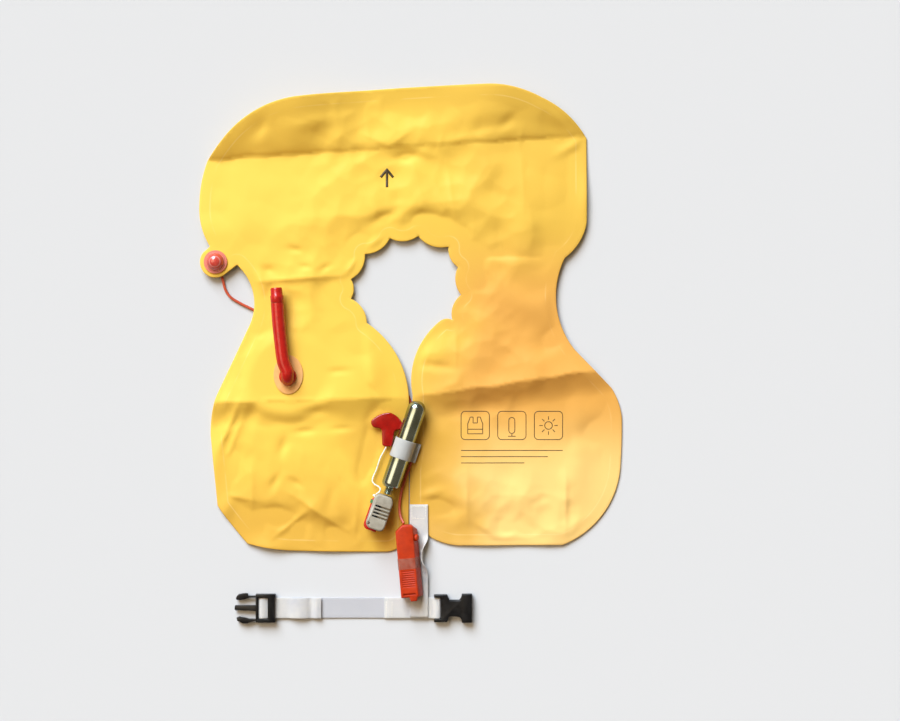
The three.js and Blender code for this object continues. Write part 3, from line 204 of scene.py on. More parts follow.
# Folds: middle, direction, half length, half width to each side, height, and whether the crest is sharp
Fold = namedtuple("Fold", "x y turn reach left right height sharp", defaults=[False])
BROAD_FOLDS = [
    Fold(0, 168, 8, 62, 20, 20, 2.6),
    Fold(18, 236, -12, 36, 18, 18, -2),
    Fold(-126, 100, 20, 42, 20, 20, 2),
    Fold(70, 124, -18, 34, 18, 18, 2),
    Fold(134, 168, 88, 52, 18, 18, 1.6),
    Fold(-92, -190, 34, 66, 22, 22, 2.8),
    Fold(-92, -130, 77, 50, 18, 18, 1.8),
    Fold(-205, -118, 84, 52, 18, 18, 2),
    Fold(70, -170, 88, 48, 18, 18, 1.8),
    Fold(196, -150, 80, 52, 20, 20, 2),
    Fold(110, -196, 28, 40, 20, 20, 2),
]
FRONT_FOLDS = [
    # under the upper crease and above the neck
    Fold(-4, 239, 10, 17, 7, 7, -2.2),
    Fold(18, 243, -15, 13, 6, 6, 1.2),
    Fold(48, 200, -81, 40, 9, 4, 0.8, True),
    Fold(135, 202, -88, 34, 5, 5, 0.7, True),
    Fold(203, 188, -79, 26, 6, 2.5, -1.8, True),
    Fold(195, 252, 29, 20, 6, 6, 1.2),
    Fold(20, 165, -5, 26, 9, 13, -2.4),
    Fold(-30, 167, 25, 18, 6, 6, -1.6),
    Fold(-42, 135, 35, 16, 5, 5, 1),
    Fold(40, 141, -49, 12, 4, 4, -1.6, True),
    Fold(96, 119, -1, 52, 12, 5, -2, True),
    Fold(-138, 127, -10, 8, 4, 4, -1),
    # left of the neck
    Fold(-135, 92, 4, 56, 10, 4, 2, True),
    Fold(-171, 103, -15, 8, 5, 5, -1.2),
    Fold(-126, 106, -5, 8, 4, 4, -1),
    Fold(-102, 105, 25, 7, 4, 4, -1),
    Fold(-71, 107, 60, 13, 4, 4, 1.2, True),
    Fold(-178, -26, -40, 9, 4, 4, -1.2),
    Fold(-88, -19, 3, 16, 4, 4, -0.8),
    Fold(-46, -8, -84, 40, 14, 8, 1.5),
    Fold(-45, -41, -55, 10, 4, 4, -1.2, True),
    # left lobe
    Fold(-190, -69, 70, 12, 9, 9, -2),
    Fold(-121, -65, -5, 22, 7, 7, -1.8),
    Fold(-23, -61, 0, 18, 7, 7, -1.2),
    Fold(-219, -89, 66, 30, 7, 3.5, 1.8, True),
    Fold(-210, -97, 68, 24, 4, 4, 1.2, True),
    Fold(-226, -164, -20, 12, 6, 6, -2.2),
    Fold(-210, -170, -12, 20, 8, 3, 1.4, True),
    Fold(-211, -188, -15, 18, 5, 5, -1.3),
    Fold(-156, -193, -15, 28, 11, 11, -2.6),
    Fold(-143, -202, 39, 24, 8, 3.5, 2, True),
    Fold(-106, -191, -34, 38, 9, 5, 2.4, True),
    Fold(-96, -172, 80, 20, 8, 8, -2),
    Fold(-82, -153, -58, 11, 3, 3, -1.4, True),
    Fold(-54, -126, 79, 60, 8, 16, -2.4),
    Fold(-65, -188, 86, 24, 8, 3.5, 2.2, True),
    Fold(-149, -226, -15, 7, 3, 3, -1.2),
    Fold(-162, -151, 62, 11, 5, 5, -1.2),
    Fold(-138, -153, -30, 9, 4, 4, -1),
    Fold(-190, -167, 90, 34, 5, 5, 0.8, True),
    Fold(-127, -91, 5, 12, 4, 4, -1),
    Fold(-83, -88, 3, 13, 3.5, 3.5, -0.8),
    Fold(-153, -110, 75, 12, 6, 6, -1.2),
    # right lobe and right waist
    Fold(36, -182, -5, 22, 8, 8, -2.2),
    Fold(26, -166, 20, 14, 6, 6, 1.2),
    Fold(68, -173, 90, 26, 8, 4, 1.2, True),
    Fold(187, -176, 90, 32, 9, 3, 1.6, True),
    Fold(92, -208, -30, 16, 10, 6, 2),
    Fold(118, -220, -2, 30, 5, 5, 1.2),
    Fold(157, -173, 25, 10, 5, 5, -0.8),
    Fold(216, -92, 20, 30, 14, 14, -1.5),
    Fold(55, 5, 90, 38, 9, 5, 1, True),
    Fold(31, -13, -8, 22, 6, 6, -1.4),
    Fold(140, 60, -20, 40, 18, 18, 2),
    Fold(170, 20, 40, 30, 12, 12, -1.5),
]
# These move both plies, at the flap and along the rim
RIM_FOLDS = [
    Fold(-179, 273, 60, 14, 12, 7, -2),
    Fold(-114, 279, 8, 24, 8, 8, 1.8),
    Fold(-108, 261, -35, 16, 9, 9, -2),
    Fold(-42, 259, -25, 18, 9, 6, 2.2, True),
    Fold(-12, 261, 35, 18, 6, 6, 2, True),
    Fold(90, 274, 12, 36, 12, 8, -2.6),
    Fold(117, 281, 40, 12, 6, 6, -1.6),
    Fold(180, 273, -10, 26, 10, 10, -1.6),
    Fold(36, 255, 80, 9, 4, 4, 1.2, True),
    Fold(132, 261, 80, 9, 4, 4, 1.2, True),
    Fold(-171, -234, -3, 24, 14, 14, 5),
    Fold(-100, -239, 0, 30, 12, 12, 2.2),
    Fold(95, -229, 0, 34, 12, 12, 2),
    Fold(170, -224, 15, 26, 12, 12, 2),
    Fold(-233, -120, 85, 26, 10, 10, 2.5),
    Fold(-223, -186, 65, 20, 10, 10, 2.5),
    Fold(211, 190, 90, 26, 8, 8, 2.2),
    Fold(-8, 300, 4, 60, 30, 30, -5),
]
Crumple = namedtuple("Crumple", "size height")
CRUMPLES = [Crumple(62, 1.4), Crumple(27, 0.6)]
FACETS = [Crumple(52, 6), Crumple(25, 2.6)]
CRUMPLE_LEVEL = 0.25  # the crumples rise and fall about this share of their height
FACET_LEVEL = 0.5  # and the facets about this one
FACET_PATCHES = {"size": 150, "edge": 0.25}  # patches where the facets show
FOLD_DEPTH = 1.8  # the front folds' heights are multiplied by this
# The cloth stays under these pieces
LYING_PIECES = [
    "co2_cylinder", "cylinder_band", "inflator_body", "inflator_lever", "lever_clip", "lever_pin",
    "lanyard_knot", "pull_tab", "pull_lanyard", "oral_flange", "oral_tube", "oral_mouthpiece",
    "battery_case", "battery_plug", "drop_strap", "lamp_lens", "lamp_bulb",
]
LEAD_SURFACES = -95  # the lead lies on the cloth below this y, and under it above

# Cords
Spot = namedtuple("Spot", "x y z")
LEAD = {"diameter": 3.2, "length": 437, "sides": 24, "flat": 0.6}
LEAD_ROUTE = [
    Spot(-228.7, 99.7, 2.6),
    Spot(-225.4, 90, 1.9),
    Spot(-222.6, 79.5, 1.6),
    Spot(-216.6, 70.5, 1.6),
    Spot(-205, 63, 1.6),
    Spot(-189, 55, 1.6),
    Spot(-165, 42, 1.6),
    Spot(-130, 22, 1.6),
    Spot(-90, 0, 1.6),
    Spot(-50, -21, 1.6),
    Spot(-18, -36.5, 1.6),
    Spot(-5, -45, 1.6),
    Spot(0, -56, 1.6),
    Spot(0.4, -72, 1.6),
    Spot(0.6, -90, 1.7),
    Spot(1.4, -104, 3.5),
    Spot(2.6, -114, 5.4),
    Spot(2.8, -122, 5.6),
    Spot(-0.8, -133, 5.4),
    Spot(-5.6, -146, 5.4),
    Spot(-9.8, -160, 5.4),
    Spot(-12.4, -174, 5.6),
    Spot(-13, -184, 6),
    Spot(-11.4, -194, 9),
    Spot(-7.6, -201.1, 13),
]
LANYARD = {"diameter": 1.8, "length": 68, "sides": 18, "strands": 3, "groove": 0.1, "lay": 4.5}
LANYARD_ROUTE = [
    Spot(-29, -109.7, 8.4),
    Spot(-31.4, -114.5, 8),
    Spot(-35.1, -121, 8),
    Spot(-36.7, -125, 8.1),
    Spot(-38, -129, 8.2),
    Spot(-39.4, -133.4, 8.2),
    Spot(-41, -138, 8.2),
    Spot(-44.4, -145.5, 8.3),
    Spot(-45.4, -150.6, 9),
    Spot(-42.6, -154.4, 10.8),
    Spot(-38.4, -156.6, 13.4),
    Spot(-35.8, -159.4, 15.6),
    Spot(-36.4, -162.4, 16.8),
    Spot(-38.6, -164.4, 17.1),
    Spot(-40.7, -165.8, 17.2),
]
ROUTE_STEPS = 8  # straight steps in each span of a route

# Gas cylinder and inflator, on one axis from the cylinder's neck
GAS = {"x": -27.2, "y": -166.2, "turn": -19}
ALONG_Y = Matrix.Rotation(math.radians(-90), 4, "X")  # turns a lathe's axis from Z to Y
CYLINDER = {
    "radius": 11.2, "length": 118, "shoulder": 6, "sides": 64,
    "neck": 5, "neck_edge": 0.5, "neck_start": 0.5, "neck_end": 8.5,
    "threads": 5, "thread_start": 0.4, "thread_pitch": 1.3, "thread_depth": 0.45, "thread_end": 0.6,
}
BAND = {
    "from": 45.5, "length": 23.5, "wall": 1, "foot": 1.4, "tail": 7, "tail_lift": 3.8, "splay": 0.4,
    "arcs": 12, "columns": 12,
}
# Black blocks of painted shade stand in the vents' left ends, where they open deeper into the inflator
VENT_SHADE_BLOCK = {
    "x": -5.8, "first": -16, "pitch": 4.2, "count": 4,
    "half": 3, "width": 2, "rise": 8.2, "tall": 3.2,
}
KNOT = {"size": 0.45, "cord": 0.75, "points": 60, "sides": 10, "open": 0.1}
PULL_TAB = {"x": -27.5, "y": -109, "turn": -4, "thick": 4.2, "edge": 1.6, "step": 0.8}
PULL_TAB_OUTLINE = [
    Corner(3.2, 0, 0.38),
    Corner(5.9, 3.4, 0.02),
    Corner(7, 16.4, -0.36),
    Corner(11, 20.6, 0.02),
    Corner(13, 20.9, 0.42),
    Corner(16.4, 28.8, 0.2),
    Corner(0.3, 40.7, 0.2),
    Corner(-21.2, 29.6, 0.42),
    Corner(-16.6, 21.4, 0.02),
    Corner(-11.4, 21, -0.36),
    Corner(-7.6, 16.6, 0.02),
    Corner(-6.4, 3.4, 0.38),
    Corner(-3.6, 0, 0.05),
]

# Mouth tube: the elbow rises off its collar, then the tube runs to the mouthpiece
TUBE = {"radius": 7.8, "sides": 40, "elbow": 9.6, "elbow_x": -146.4, "elbow_y": -29, "elbow_steps": 6}
Rise = namedtuple("Rise", "x y rise")
TUBE_RUN = [Rise(-150.6, -9, 9.6), Rise(-154, 14, 9.4), Rise(-156.8, 40, 9), Rise(-158.4, 62.8, 8.8)]
Turned = namedtuple("Turned", "radius height")
COLLAR_SHIFT = 4  # the collar stands this far towards the tube
COLLAR = [
    Turned(0, 0.1),
    Turned(10.4, 0.1),
    Turned(10.4, 3),
    Turned(9.6, 4.2),
    Turned(7.9, 5),
    Turned(0, 5),
]
MOUTHPIECE = [
    Turned(0, 0.3),
    Turned(7.4, 0.3),
    Turned(7.8, 0.9),
    Turned(7.95, 6.4),
    Turned(7.9, 8.2),
    Turned(7.2, 9.4),
    Turned(7.1, 16.4),
    Turned(6.8, 17.5),
    Turned(6.3, 18),
    Turned(5.7, 18),
    Turned(5.4, 17.4),
    Turned(5.2, 14),
    Turned(0, 14),
]
PATCH = {"sides": 96, "edge": 0.45}

# Rescue lamp's lens
LENS = {
    "flange": 14, "flange_high": 1.7, "ring": 11.6, "ring_high": 2.6, "edge": 0.4, "step": 0.3,
    "dome": 10.2, "height": 11.3, "wall": 1.4, "sides": 64,
    "blend": (9.8, 10.8), "pale_ring": 6.4, "pale_run": (0.3, 1), "pale_share": 0.6,
}

# Webbing
STRAP = {"width": 22, "thick": 1.5, "columns": 18}
STRAP_CURL = {"across": 2.2, "radius": 2.6, "turn": 110, "y": -239, "half": 26}
Bend = namedtuple("Bend", "y x z roll")
STRAP_ROUTE = [
    Bend(-179, 10.2, 4.3, 0),
    Bend(-200, 10.4, 4.3, 0),
    Bend(-218, 10.6, 4.3, 0),
    Bend(-232, 10.6, 4.2, 3),
    Bend(-246, 10.6, 3.6, 11),
    Bend(-260, 10.6, 3.3, 11),
    Bend(-274, 10.5, 3, 5),
    Bend(-284, 10.4, 4, 0),
    Bend(-292, 10.4, 4.9, 0),
    Bend(-315, 10.4, 4.9, 0),
]
BELT = {"y": -303.5, "width": 25, "thick": 1.5, "columns": 12}
# The belt from its free tail through the male half, along the floor, and round the female half's bar
Edge = namedtuple("Edge", "x z")
BELT_ROUTE = [
    Edge(-107, 4.2),
    Edge(-113, 5.1),
    Edge(-119, 3),
    Edge(-126, 5.3),
    Edge(-133, 6.2),
    Edge(-140, 5.2),
    Edge(-147, 2.9),
    Edge(-155, 2.7),
    Edge(-163, 3.6),
    Edge(-171, 4.2),
    Edge(-174.5, 5.6),
    Edge(-178.5, 6.3),
    Edge(-181.2, 5.2),
    Edge(-181.9, 3.5),
    Edge(-181.2, 1.7),
    Edge(-178.5, 0.75),
    Edge(-172, 0.75),
    Edge(-110, 1.1),
    Edge(-75, 0.8),
    Edge(-40, 0.75),
    Edge(28, 0.75),
    Edge(33, 0.75),
    Edge(35.2, 1.7),
    Edge(35.8, 3.5),
    Edge(35.2, 5.3),
    Edge(32.6, 6.3),
    Edge(29, 5.6),
    Edge(25, 3.4),
    Edge(20, 2.6),
    Edge(-31.5, 2.6),
]

# Printed marks: plain line drawings without words
INK = {"lift": 0.12, "sink": 0.1, "step": 1.4}
ARROW = {"x": -28, "y": 213, "line": 3}
ARROW_LINES = [[(0, -11), (0, 8)], [(-7.5, 1), (0.8, 11)], [(7.5, 1), (-0.8, 11)]]
CARDS = {"x": 78, "y": -84, "pitch": 44, "half": 17, "corner": 5, "line": 0.9}
VEST_SIGN_SIDE = [(9, -10), (9, 2), (6, 10), (2.6, 10), (2.6, 3)]
VEST_SIGN_BELT = -4.5
PULL_SIGN = {"half": 6, "radius": 3.6, "cord": [(0, -9.6), (0, -13)], "grip": [(-4.5, -13), (4.5, -13)]}
LAMP_SIGN = {"radius": 4.6, "inner": 7, "outer": 11, "rays": 8}
RULES = {"left": 61, "top": -114, "pitch": 7.5, "lengths": [122, 104, 76]}

# Stitches
STITCH = {"length": 2.3, "pitch": 3.2, "radius": 0.3, "rise": 0.16, "sink": 0.3, "points": 7, "sides": 6}
Seam = namedtuple("Seam", "x y to_x to_y")
BELT_SEAMS = [
    Seam(-29, -314, -29, -293),
    Seam(-22, -314, -22, -293),
]
STRAP_SEAMS = [
    Seam(2, -181.5, 18.5, -181.5),
    Seam(2, -196, 18.5, -196),
    Seam(2, -181.5, 2, -196),
    Seam(18.5, -181.5, 18.5, -196),
]

# Plastics and other plain finishes
Plastic = namedtuple("Plastic", "colour worn roughness specular metallic", defaults=[0.5, 0.0])
PLASTICS = {
    "red_plastic": Plastic(0xB81E17, 0xA41812, 0.2),
    "red_plastic_deep": Plastic(0x9E100A, 0x8A0C07, 0.16),
    "black_plastic": Plastic(0x0B0B0D, 0x121315, 0.34, 0.3),
    "green_plastic": Plastic(0x4D8A54, 0x3F7546, 0.4),
    "orange_plastic": Plastic(0xB83208, 0xA62A06, 0.42, 0.3),
    "red_lead": Plastic(0xC04A26, 0xA83C1E, 0.4),
    "grey_casting": Plastic(0xA39C8C, 0x918A7B, 0.42),
    "steel_pin": Plastic(0x8F8C86, 0x6F6C66, 0.35, metallic=1.0),
    "ink": Plastic(0x3A2C12, 0x5A4419, 0.6),
}
WEBBING_COLOURS = {"white_webbing": (0xBCBCC0, 0xD0CDC8), "white_webbing_deep": (0xB0B1AE, 0xB6B6B2)}
# Painted shade: the webbing is greyer where it lies low
PAINTED_LOW_SHADE_HEIGHTS = (2, 3.5)  # the webbing turns greyer as it goes down through these heights

# Rounding of the hard pieces
WELD_LIMIT = 1e-6  # metres
FLAT_ANGLE = 1  # faces that meet at less than this are joined up
SHARP_ANGLE = 38  # edges sharper than this are rounded or kept sharp
BEVEL_STEPS = 3
EDGE_STEPS = 6  # steps in a rounded edge
ROUND_STEPS = 16  # and in a round stretch of a profile
NEAR_TOP = 88  # angle at which a dome's round stretch stops short of its axis


# Shaping

def bulged_outline(corners, step):
    """Points along an outline of straight and bent runs, no further apart than step."""
    points = []
    for here, there in zip(corners, corners[1:] + corners[:1]):
        start = complex(here.x, here.y)
        chord = complex(there.x, there.y) - start
        sweep = 4 * math.atan(here.bulge)
        run = abs(chord)
        if here.bulge:
            run *= abs(sweep / 2 / math.sin(sweep / 2))
            centre = start + chord / 2 + 0.5j * chord / math.tan(sweep / 2)
        count = max(1, math.ceil(run / step))
        for k in range(count):
            share = k / count
            if here.bulge:
                points.append(centre + (start - centre) * cmath.exp(1j * sweep * share))
            else:
                points.append(start + chord * share)
    return np.array([(point.real, point.imag) for point in points])


def smoothstep(value, low, high):
    share = np.clip((value - low) / (high - low), 0, 1)
    return share * share * (3 - 2 * share)


def mix(low, high, share):
    return low + (high - low) * share


def away_from(spot, x, y):
    """0 within a spot's radius, and 1 beyond its fade."""
    distance = np.hypot(x - spot["x"], y - spot["y"])
    return smoothstep(distance, spot["radius"], spot["radius"] + spot["fade"])


def smooth_route(spots):
    """Points of a smooth curve through the spots, in millimetres."""
    rows = np.array(spots, float)
    rows = np.vstack([2 * rows[0] - rows[1], rows, 2 * rows[-1] - rows[-2]])
    points = []
    for before, here, there, after in zip(rows, rows[1:], rows[2:], rows[3:]):
        pairs = ((before, here), (here, there), (there, after))
        earlier, gap, later = (math.sqrt(np.linalg.norm(end - start)) for start, end in pairs)
        first = gap * ((here - before) / earlier - (there - before) / (earlier + gap) + (there - here) / gap)
        last = gap * ((there - here) / gap - (after - here) / (gap + later) + (after - there) / later)
        cubic = 2 * here - 2 * there + first + last
        square = 3 * there - 3 * here - 2 * first - last
        for k in range(ROUTE_STEPS):
            share = k / ROUTE_STEPS
            points.append(here + share * first + share**2 * square + share**3 * cubic)
    points.append(rows[-2])
    return np.array(points)


def add_to_scene(name, data):
    made = bpy.data.objects.new(name, data)
    bpy.context.scene.collection.objects.link(made)
    return made


def add_object(name, corners, faces, material):
    """A smooth mesh object from corners in millimetres."""
    mesh = bpy.data.meshes.new(name)
    mesh.from_pydata([tuple(corner) for corner in np.asarray(corners, float) * MM], [], faces)
    mesh.polygons.foreach_set("use_smooth", [True] * len(mesh.polygons))
    mesh.materials.append(material)
    mesh.update()
    return add_to_scene(name, mesh)


def add_attribute(thing, name, values):
    attribute = thing.data.attributes.new(name, "FLOAT", "POINT")
    attribute.data.foreach_set("value", np.asarray(values, np.float32))


def left_of(ahead):
    """Unit directions to the left of flat ones."""
    return np.column_stack([-ahead[:, 1], ahead[:, 0]]) / np.hypot(*ahead.T)[:, None]


def inward_of(outline):
    """Unit directions into a counterclockwise outline, at its points."""
    return left_of(np.roll(outline, -1, axis=0) - np.roll(outline, 1, axis=0))


def directions_of(points):
    """Unit directions along a route, at its points."""
    ahead = np.gradient(points, axis=0)
    return ahead / np.linalg.norm(ahead, axis=1)[:, None]


def route_frames(points):
    """The direction, side and upper directions at each point of a route, without twist."""
    ahead = directions_of(points)
    side = np.cross(ahead[0], UP)
    if np.linalg.norm(side) < 0.1:
        side = np.array((1.0, 0, 0))
    frames = []
    for direction in ahead:
        side = side - direction * (side @ direction)
        side = side / np.linalg.norm(side)
        frames.append((direction, side, np.cross(side, direction)))
    return frames


def tube(points, radius, sides):
    """Corners and faces of a closed tube. radius is a size, or a function of the angle and the length."""
    corners = []
    length = np.concatenate([[0], np.cumsum(np.linalg.norm(np.diff(points, axis=0), axis=1))])
    for point, so_far, (_, side, upper) in zip(points, length, route_frames(points)):
        for k in range(sides):
            angle = 2 * math.pi * k / sides
            reach = radius(angle, so_far) if callable(radius) else radius
            corners.append(point + reach * (math.cos(angle) * side + math.sin(angle) * upper))
    return corners, ring_faces(len(points), sides)


def ring_faces(rings, sides):
    faces = []
    for ring in range(rings - 1):
        for k in range(sides):
            a, b = ring * sides + k, ring * sides + (k + 1) % sides
            faces.append((a, a + sides, b + sides, b))
    last = (rings - 1) * sides
    faces.append(tuple(range(sides)))
    faces.append(tuple(last + k for k in reversed(range(sides))))
    return faces


# Materials

def rgba(colour):
    """A colour written as 0xrrggbb, in linear light."""
    channels = [(colour >> shift & 255) / 255 for shift in (16, 8, 0)]
    return [c / 12.92 if c <= 0.04045 else ((c + 0.055) / 1.055) ** 2.4 for c in channels] + [1]


def new_material(name, colour, roughness, sockets=()):
    material = bpy.data.materials.new(name)
    material.use_nodes = True
    shader = material.node_tree.nodes["Principled BSDF"]
    shader.inputs["Base Color"].default_value = rgba(colour)
    shader.inputs["Roughness"].default_value = roughness
    for socket, value in dict(sockets).items():
        shader.inputs[socket].default_value = value
    return material


def add_node(material, kind, inputs=(), **settings):
    """A new node. inputs gives a value or another node's output for each named or numbered socket."""
    made = material.node_tree.nodes.new("ShaderNode" + kind)
    for name, value in settings.items():
        setattr(made, name, value)
    for socket, value in dict(inputs).items():
        if isinstance(value, bpy.types.NodeSocket):
            material.node_tree.links.new(value, made.inputs[socket])
        else:
            made.inputs[socket].default_value = value
    return made


def link(material, output, socket):
    shader = material.node_tree.nodes["Principled BSDF"]
    material.node_tree.links.new(output, shader.inputs[socket])


def object_coordinates(material):
    return add_node(material, "TexCoord").outputs["Object"]


def noise_factor(material, scale, detail=3.0):
    inputs = {"Vector": object_coordinates(material), "Scale": scale, "Detail": detail, "Roughness": 0.55}
    return add_node(material, "TexNoise", inputs).outputs["Fac"]


def calculate(material, operation, *values):
    node = add_node(material, "Math", dict(enumerate(values)), operation=operation)
    return node.outputs[0]


def ranged(material, value, low, high, to_low=0.0, to_high=1.0):
    inputs = {"Value": value, "From Min": low, "From Max": high, "To Min": to_low, "To Max": to_high}
    return add_node(material, "MapRange", inputs, interpolation_type="SMOOTHSTEP").outputs["Result"]


def mixed_colour(material, factor, low, high):
    """One colour into another. Each is 0xrrggbb or a node's output."""
    low, high = (rgba(colour) if isinstance(colour, int) else colour for colour in (low, high))
    return add_node(material, "Mix", {0: factor, 6: low, 7: high}, data_type="RGBA").outputs[2]


def add_bump(material, height, distance, strength):
    inputs = {"Height": height, "Distance": distance * MM, "Strength": strength}
    link(material, add_node(material, "Bump", inputs).outputs["Normal"], "Normal")


def along_run(material, value, run, to_low=0.0, to_high=1.0):
    """Goes from to_low to to_high as a place in metres goes along a run in millimetres."""
    start, end = run
    return ranged(material, value, start * MM, end * MM, to_low, to_high)


def mottle(material, low, high, scale, detail, start, end):
    """Base colour that turns from low to high in noisy patches."""
    patches = ranged(material, noise_factor(material, scale, detail), start, end)
    link(material, mixed_colour(material, patches, low, high), "Base Color")


def vary_gloss(material, low, high, scale, detail, start, end):
    gloss = ranged(material, noise_factor(material, scale, detail), start, end, low, high)
    link(material, gloss, "Roughness")


def painted_shade_share(material, x, y):
    """How much painted shade, darker and more golden, the cloth gets along the slit and in the lower part of
    the left lobe.
    """
    from_slit = calculate(material, "ABSOLUTE", x)
    by_slit = along_run(material, from_slit, PAINTED_SHADE_SLIT["near"], PAINTED_SHADE_SLIT["share"], 0.0)
    by_slit = calculate(material, "MULTIPLY", by_slit, along_run(material, y, PAINTED_SHADE_SLIT["below"]))
    on_left = along_run(material, y, PAINTED_SHADE_LEFT["below"], 0.0, PAINTED_SHADE_LEFT["share"])
    on_left = calculate(material, "MULTIPLY", on_left, along_run(material, x, PAINTED_SHADE_LEFT["across"]))
    return calculate(material, "MAXIMUM", by_slit, on_left)


def weld_line(material):
    """How far the broken line along the weld shows."""
    rim = add_node(material, "Attribute", attribute_name="rim").outputs["Fac"]
    from_line = calculate(material, "ABSOLUTE", calculate(material, "SUBTRACT", rim, WELD_WIDTH))
    line = ranged(material, from_line, WELD_LINE["core"], WELD_LINE["edge"], 1.0, 0.0)
    broken = ranged(material, noise_factor(material, 25), 0.4, 0.65, 0.0, WELD_LINE["share"])
    return calculate(material, "MULTIPLY", line, broken)


def cloth_material(name, colours):
    """Coated yellow cloth with a faint weld line along the rim. It is darker and more golden towards its
    right side, partly its own tint and partly painted shade where the light falls off, with a painted orange
    reflection at the right waist, painted light low on the right lobe, and painted shade along the slit and
    low on the left lobe.
    """
    roughness = colours["roughness"]
    material = new_material(name, colours["left"], roughness, {"Specular IOR Level": CLOTH_SPECULAR})
    place = add_node(material, "SeparateXYZ", {0: object_coordinates(material)})
    x, y = place.outputs["X"], place.outputs["Y"]
    patchy = calculate(material, "MULTIPLY_ADD", noise_factor(material, 9), 0.16, -0.08)
    x = calculate(material, "ADD", x, patchy)
    # Painted shade, partly the cloth's own tint: darker and more golden towards the right
    middle = along_run(material, x, COLOUR_RUNS["middle"])
    right = along_run(material, x, COLOUR_RUNS["right"])
    shares = {"middle": middle, "right": right}
    # The waist tint is a painted warm orange reflection, and the low tint is painted light on the lower
    # right
    for stretch in ("painted_waist_reflection", "low"):
        level = along_run(material, y, COLOUR_RUNS[stretch])
        shares[stretch] = calculate(material, "MULTIPLY", right, level)
    # Painted shade along the slit and low on the left lobe
    shares["painted_shade"] = painted_shade_share(material, x, y)
    shares["line"] = weld_line(material)
    colour = colours["left"]
    for tint, share in shares.items():
        colour = mixed_colour(material, share, colour, colours[tint])
    link(material, colour, "Base Color")
    vary_gloss(material, roughness - 0.07, roughness + 0.07, scale=40, detail=4, start=0.3, end=0.7)
    waves = {"Vector": object_coordinates(material), "Scale": 420, "Distortion": 0.4}
    wave = add_node(material, "TexWave", waves).outputs["Fac"]
    weave = calculate(material, "MULTIPLY_ADD", wave, 0.5, noise_factor(material, 1100, 2))
    add_bump(material, weave, 0.06, 0.5)
    return material


def plastic_material(name):
    """Moulded plastic with faint flow marks and a fine grain."""
    colour, worn, roughness, specular, metallic = PLASTICS[name]
    sockets = {"Specular IOR Level": specular, "Metallic": metallic}
    material = new_material(name, colour, roughness, sockets)
    mottle(material, colour, worn, scale=140, detail=5, start=0.35, end=0.75)
    vary_gloss(material, roughness * 0.8, roughness * 1.25, scale=260, detail=4, start=0.3, end=0.7)
    add_bump(material, noise_factor(material, 1500, 3), 0.05, 0.35)
    return material


def plated_material():
    """Zinc plating with a faint olive tint and fine marks from handling."""
    material = new_material("plating", 0xB4B4A0, 0.25, {"Metallic": 1.0})
    mottle(material, 0xA6B4B0, 0x8C9688, scale=45, detail=4, start=0.35, end=0.7)
    vary_gloss(material, 0.16, 0.24, scale=420, detail=5, start=0.35, end=0.75)
    add_bump(material, noise_factor(material, 700, 4), 0.02, 0.12)
    return material


def webbing_material(name):
    """White webbing woven in chevrons, a little greyer in patches, with painted shade where it lies low and
    in the grooves of its weave.
    """
    low, high = WEBBING_COLOURS[name]
    material = new_material(name, high, 0.8, {"Sheen Weight": 0.1})
    grey = ranged(material, noise_factor(material, 30, 4), 0.4, 0.75)
    along = add_node(material, "Attribute", attribute_name="along").outputs["Fac"]
    across = add_node(material, "Attribute", attribute_name="across").outputs["Fac"]
    chevron = add_node(material, "CombineXYZ", {"X": along, "Y": calculate(material, "ABSOLUTE", across)})
    waves = []
    for direction, scale in (("DIAGONAL", 0.55), ("Y", 0.5)):
        inputs = {"Vector": chevron.outputs[0], "Scale": scale}
        waves.append(add_node(material, "TexWave", inputs, bands_direction=direction).outputs["Fac"])
    wave, thread = waves
    height = add_node(material, "SeparateXYZ", {0: object_coordinates(material)}).outputs["Z"]
    # Painted shade, greyer where the webbing lies low
    painted_height_shade = mixed_colour(material, along_run(material, height, PAINTED_LOW_SHADE_HEIGHTS), low, high)
    colour = mixed_colour(material, grey, painted_height_shade, low)
    # Painted shade in the grooves of the weave, where its bump is low
    painted_shade = ranged(material, wave, 0.0, 0.35, 0.16, 0.0)
    link(material, mixed_colour(material, painted_shade, colour, 0x9E9B96), "Base Color")
    add_bump(material, calculate(material, "MULTIPLY_ADD", thread, 0.4, wave), 0.22, 0.7)
    return material


def patch_material():
    """Thin pale orange patch, a little cloudy."""
    material = new_material("patch", 0xEDB270, 0.36)
    mottle(material, 0xE4A560, 0xEBB472, scale=90, detail=4, start=0.3, end=0.75)
    add_bump(material, noise_factor(material, 900, 2), 0.04, 0.4)
    return material


def lens_material():
    """Clear moulding: a pink flange round a deeper red dome with a pale ring in it."""
    sockets = {"Transmission Weight": 0.3, "IOR": 1.49, "Coat Weight": 0.6, "Coat Roughness": 0.05}
    material = new_material("lens", 0xF28074, 0.16, sockets)
    streaks = ranged(material, noise_factor(material, 220, 3), 0.3, 0.7)
    place = add_node(material, "SeparateXYZ", {0: object_coordinates(material)})
    across = calculate(material, "SUBTRACT", place.outputs["X"], LAMP["x"] * MM)
    along = calculate(material, "SUBTRACT", place.outputs["Y"], LAMP["y"] * MM)
    squares = [calculate(material, "MULTIPLY", offset, offset) for offset in (across, along)]
    reach = calculate(material, "SQRT", calculate(material, "ADD", *squares))
    dome = mixed_colour(material, streaks, 0xE4584A, 0xD64438)
    off_ring = calculate(material, "SUBTRACT", reach, LENS["pale_ring"] * MM)
    from_ring = calculate(material, "ABSOLUTE", off_ring)
    pale = along_run(material, from_ring, LENS["pale_run"], LENS["pale_share"], 0.0)
    dome = mixed_colour(material, pale, dome, 0xF6B0A6)
    flange = along_run(material, reach, LENS["blend"])
    link(material, mixed_colour(material, flange, dome, 0xF58C7C), "Base Color")
    add_bump(material, noise_factor(material, 500, 2), 0.04, 0.3)
    return material


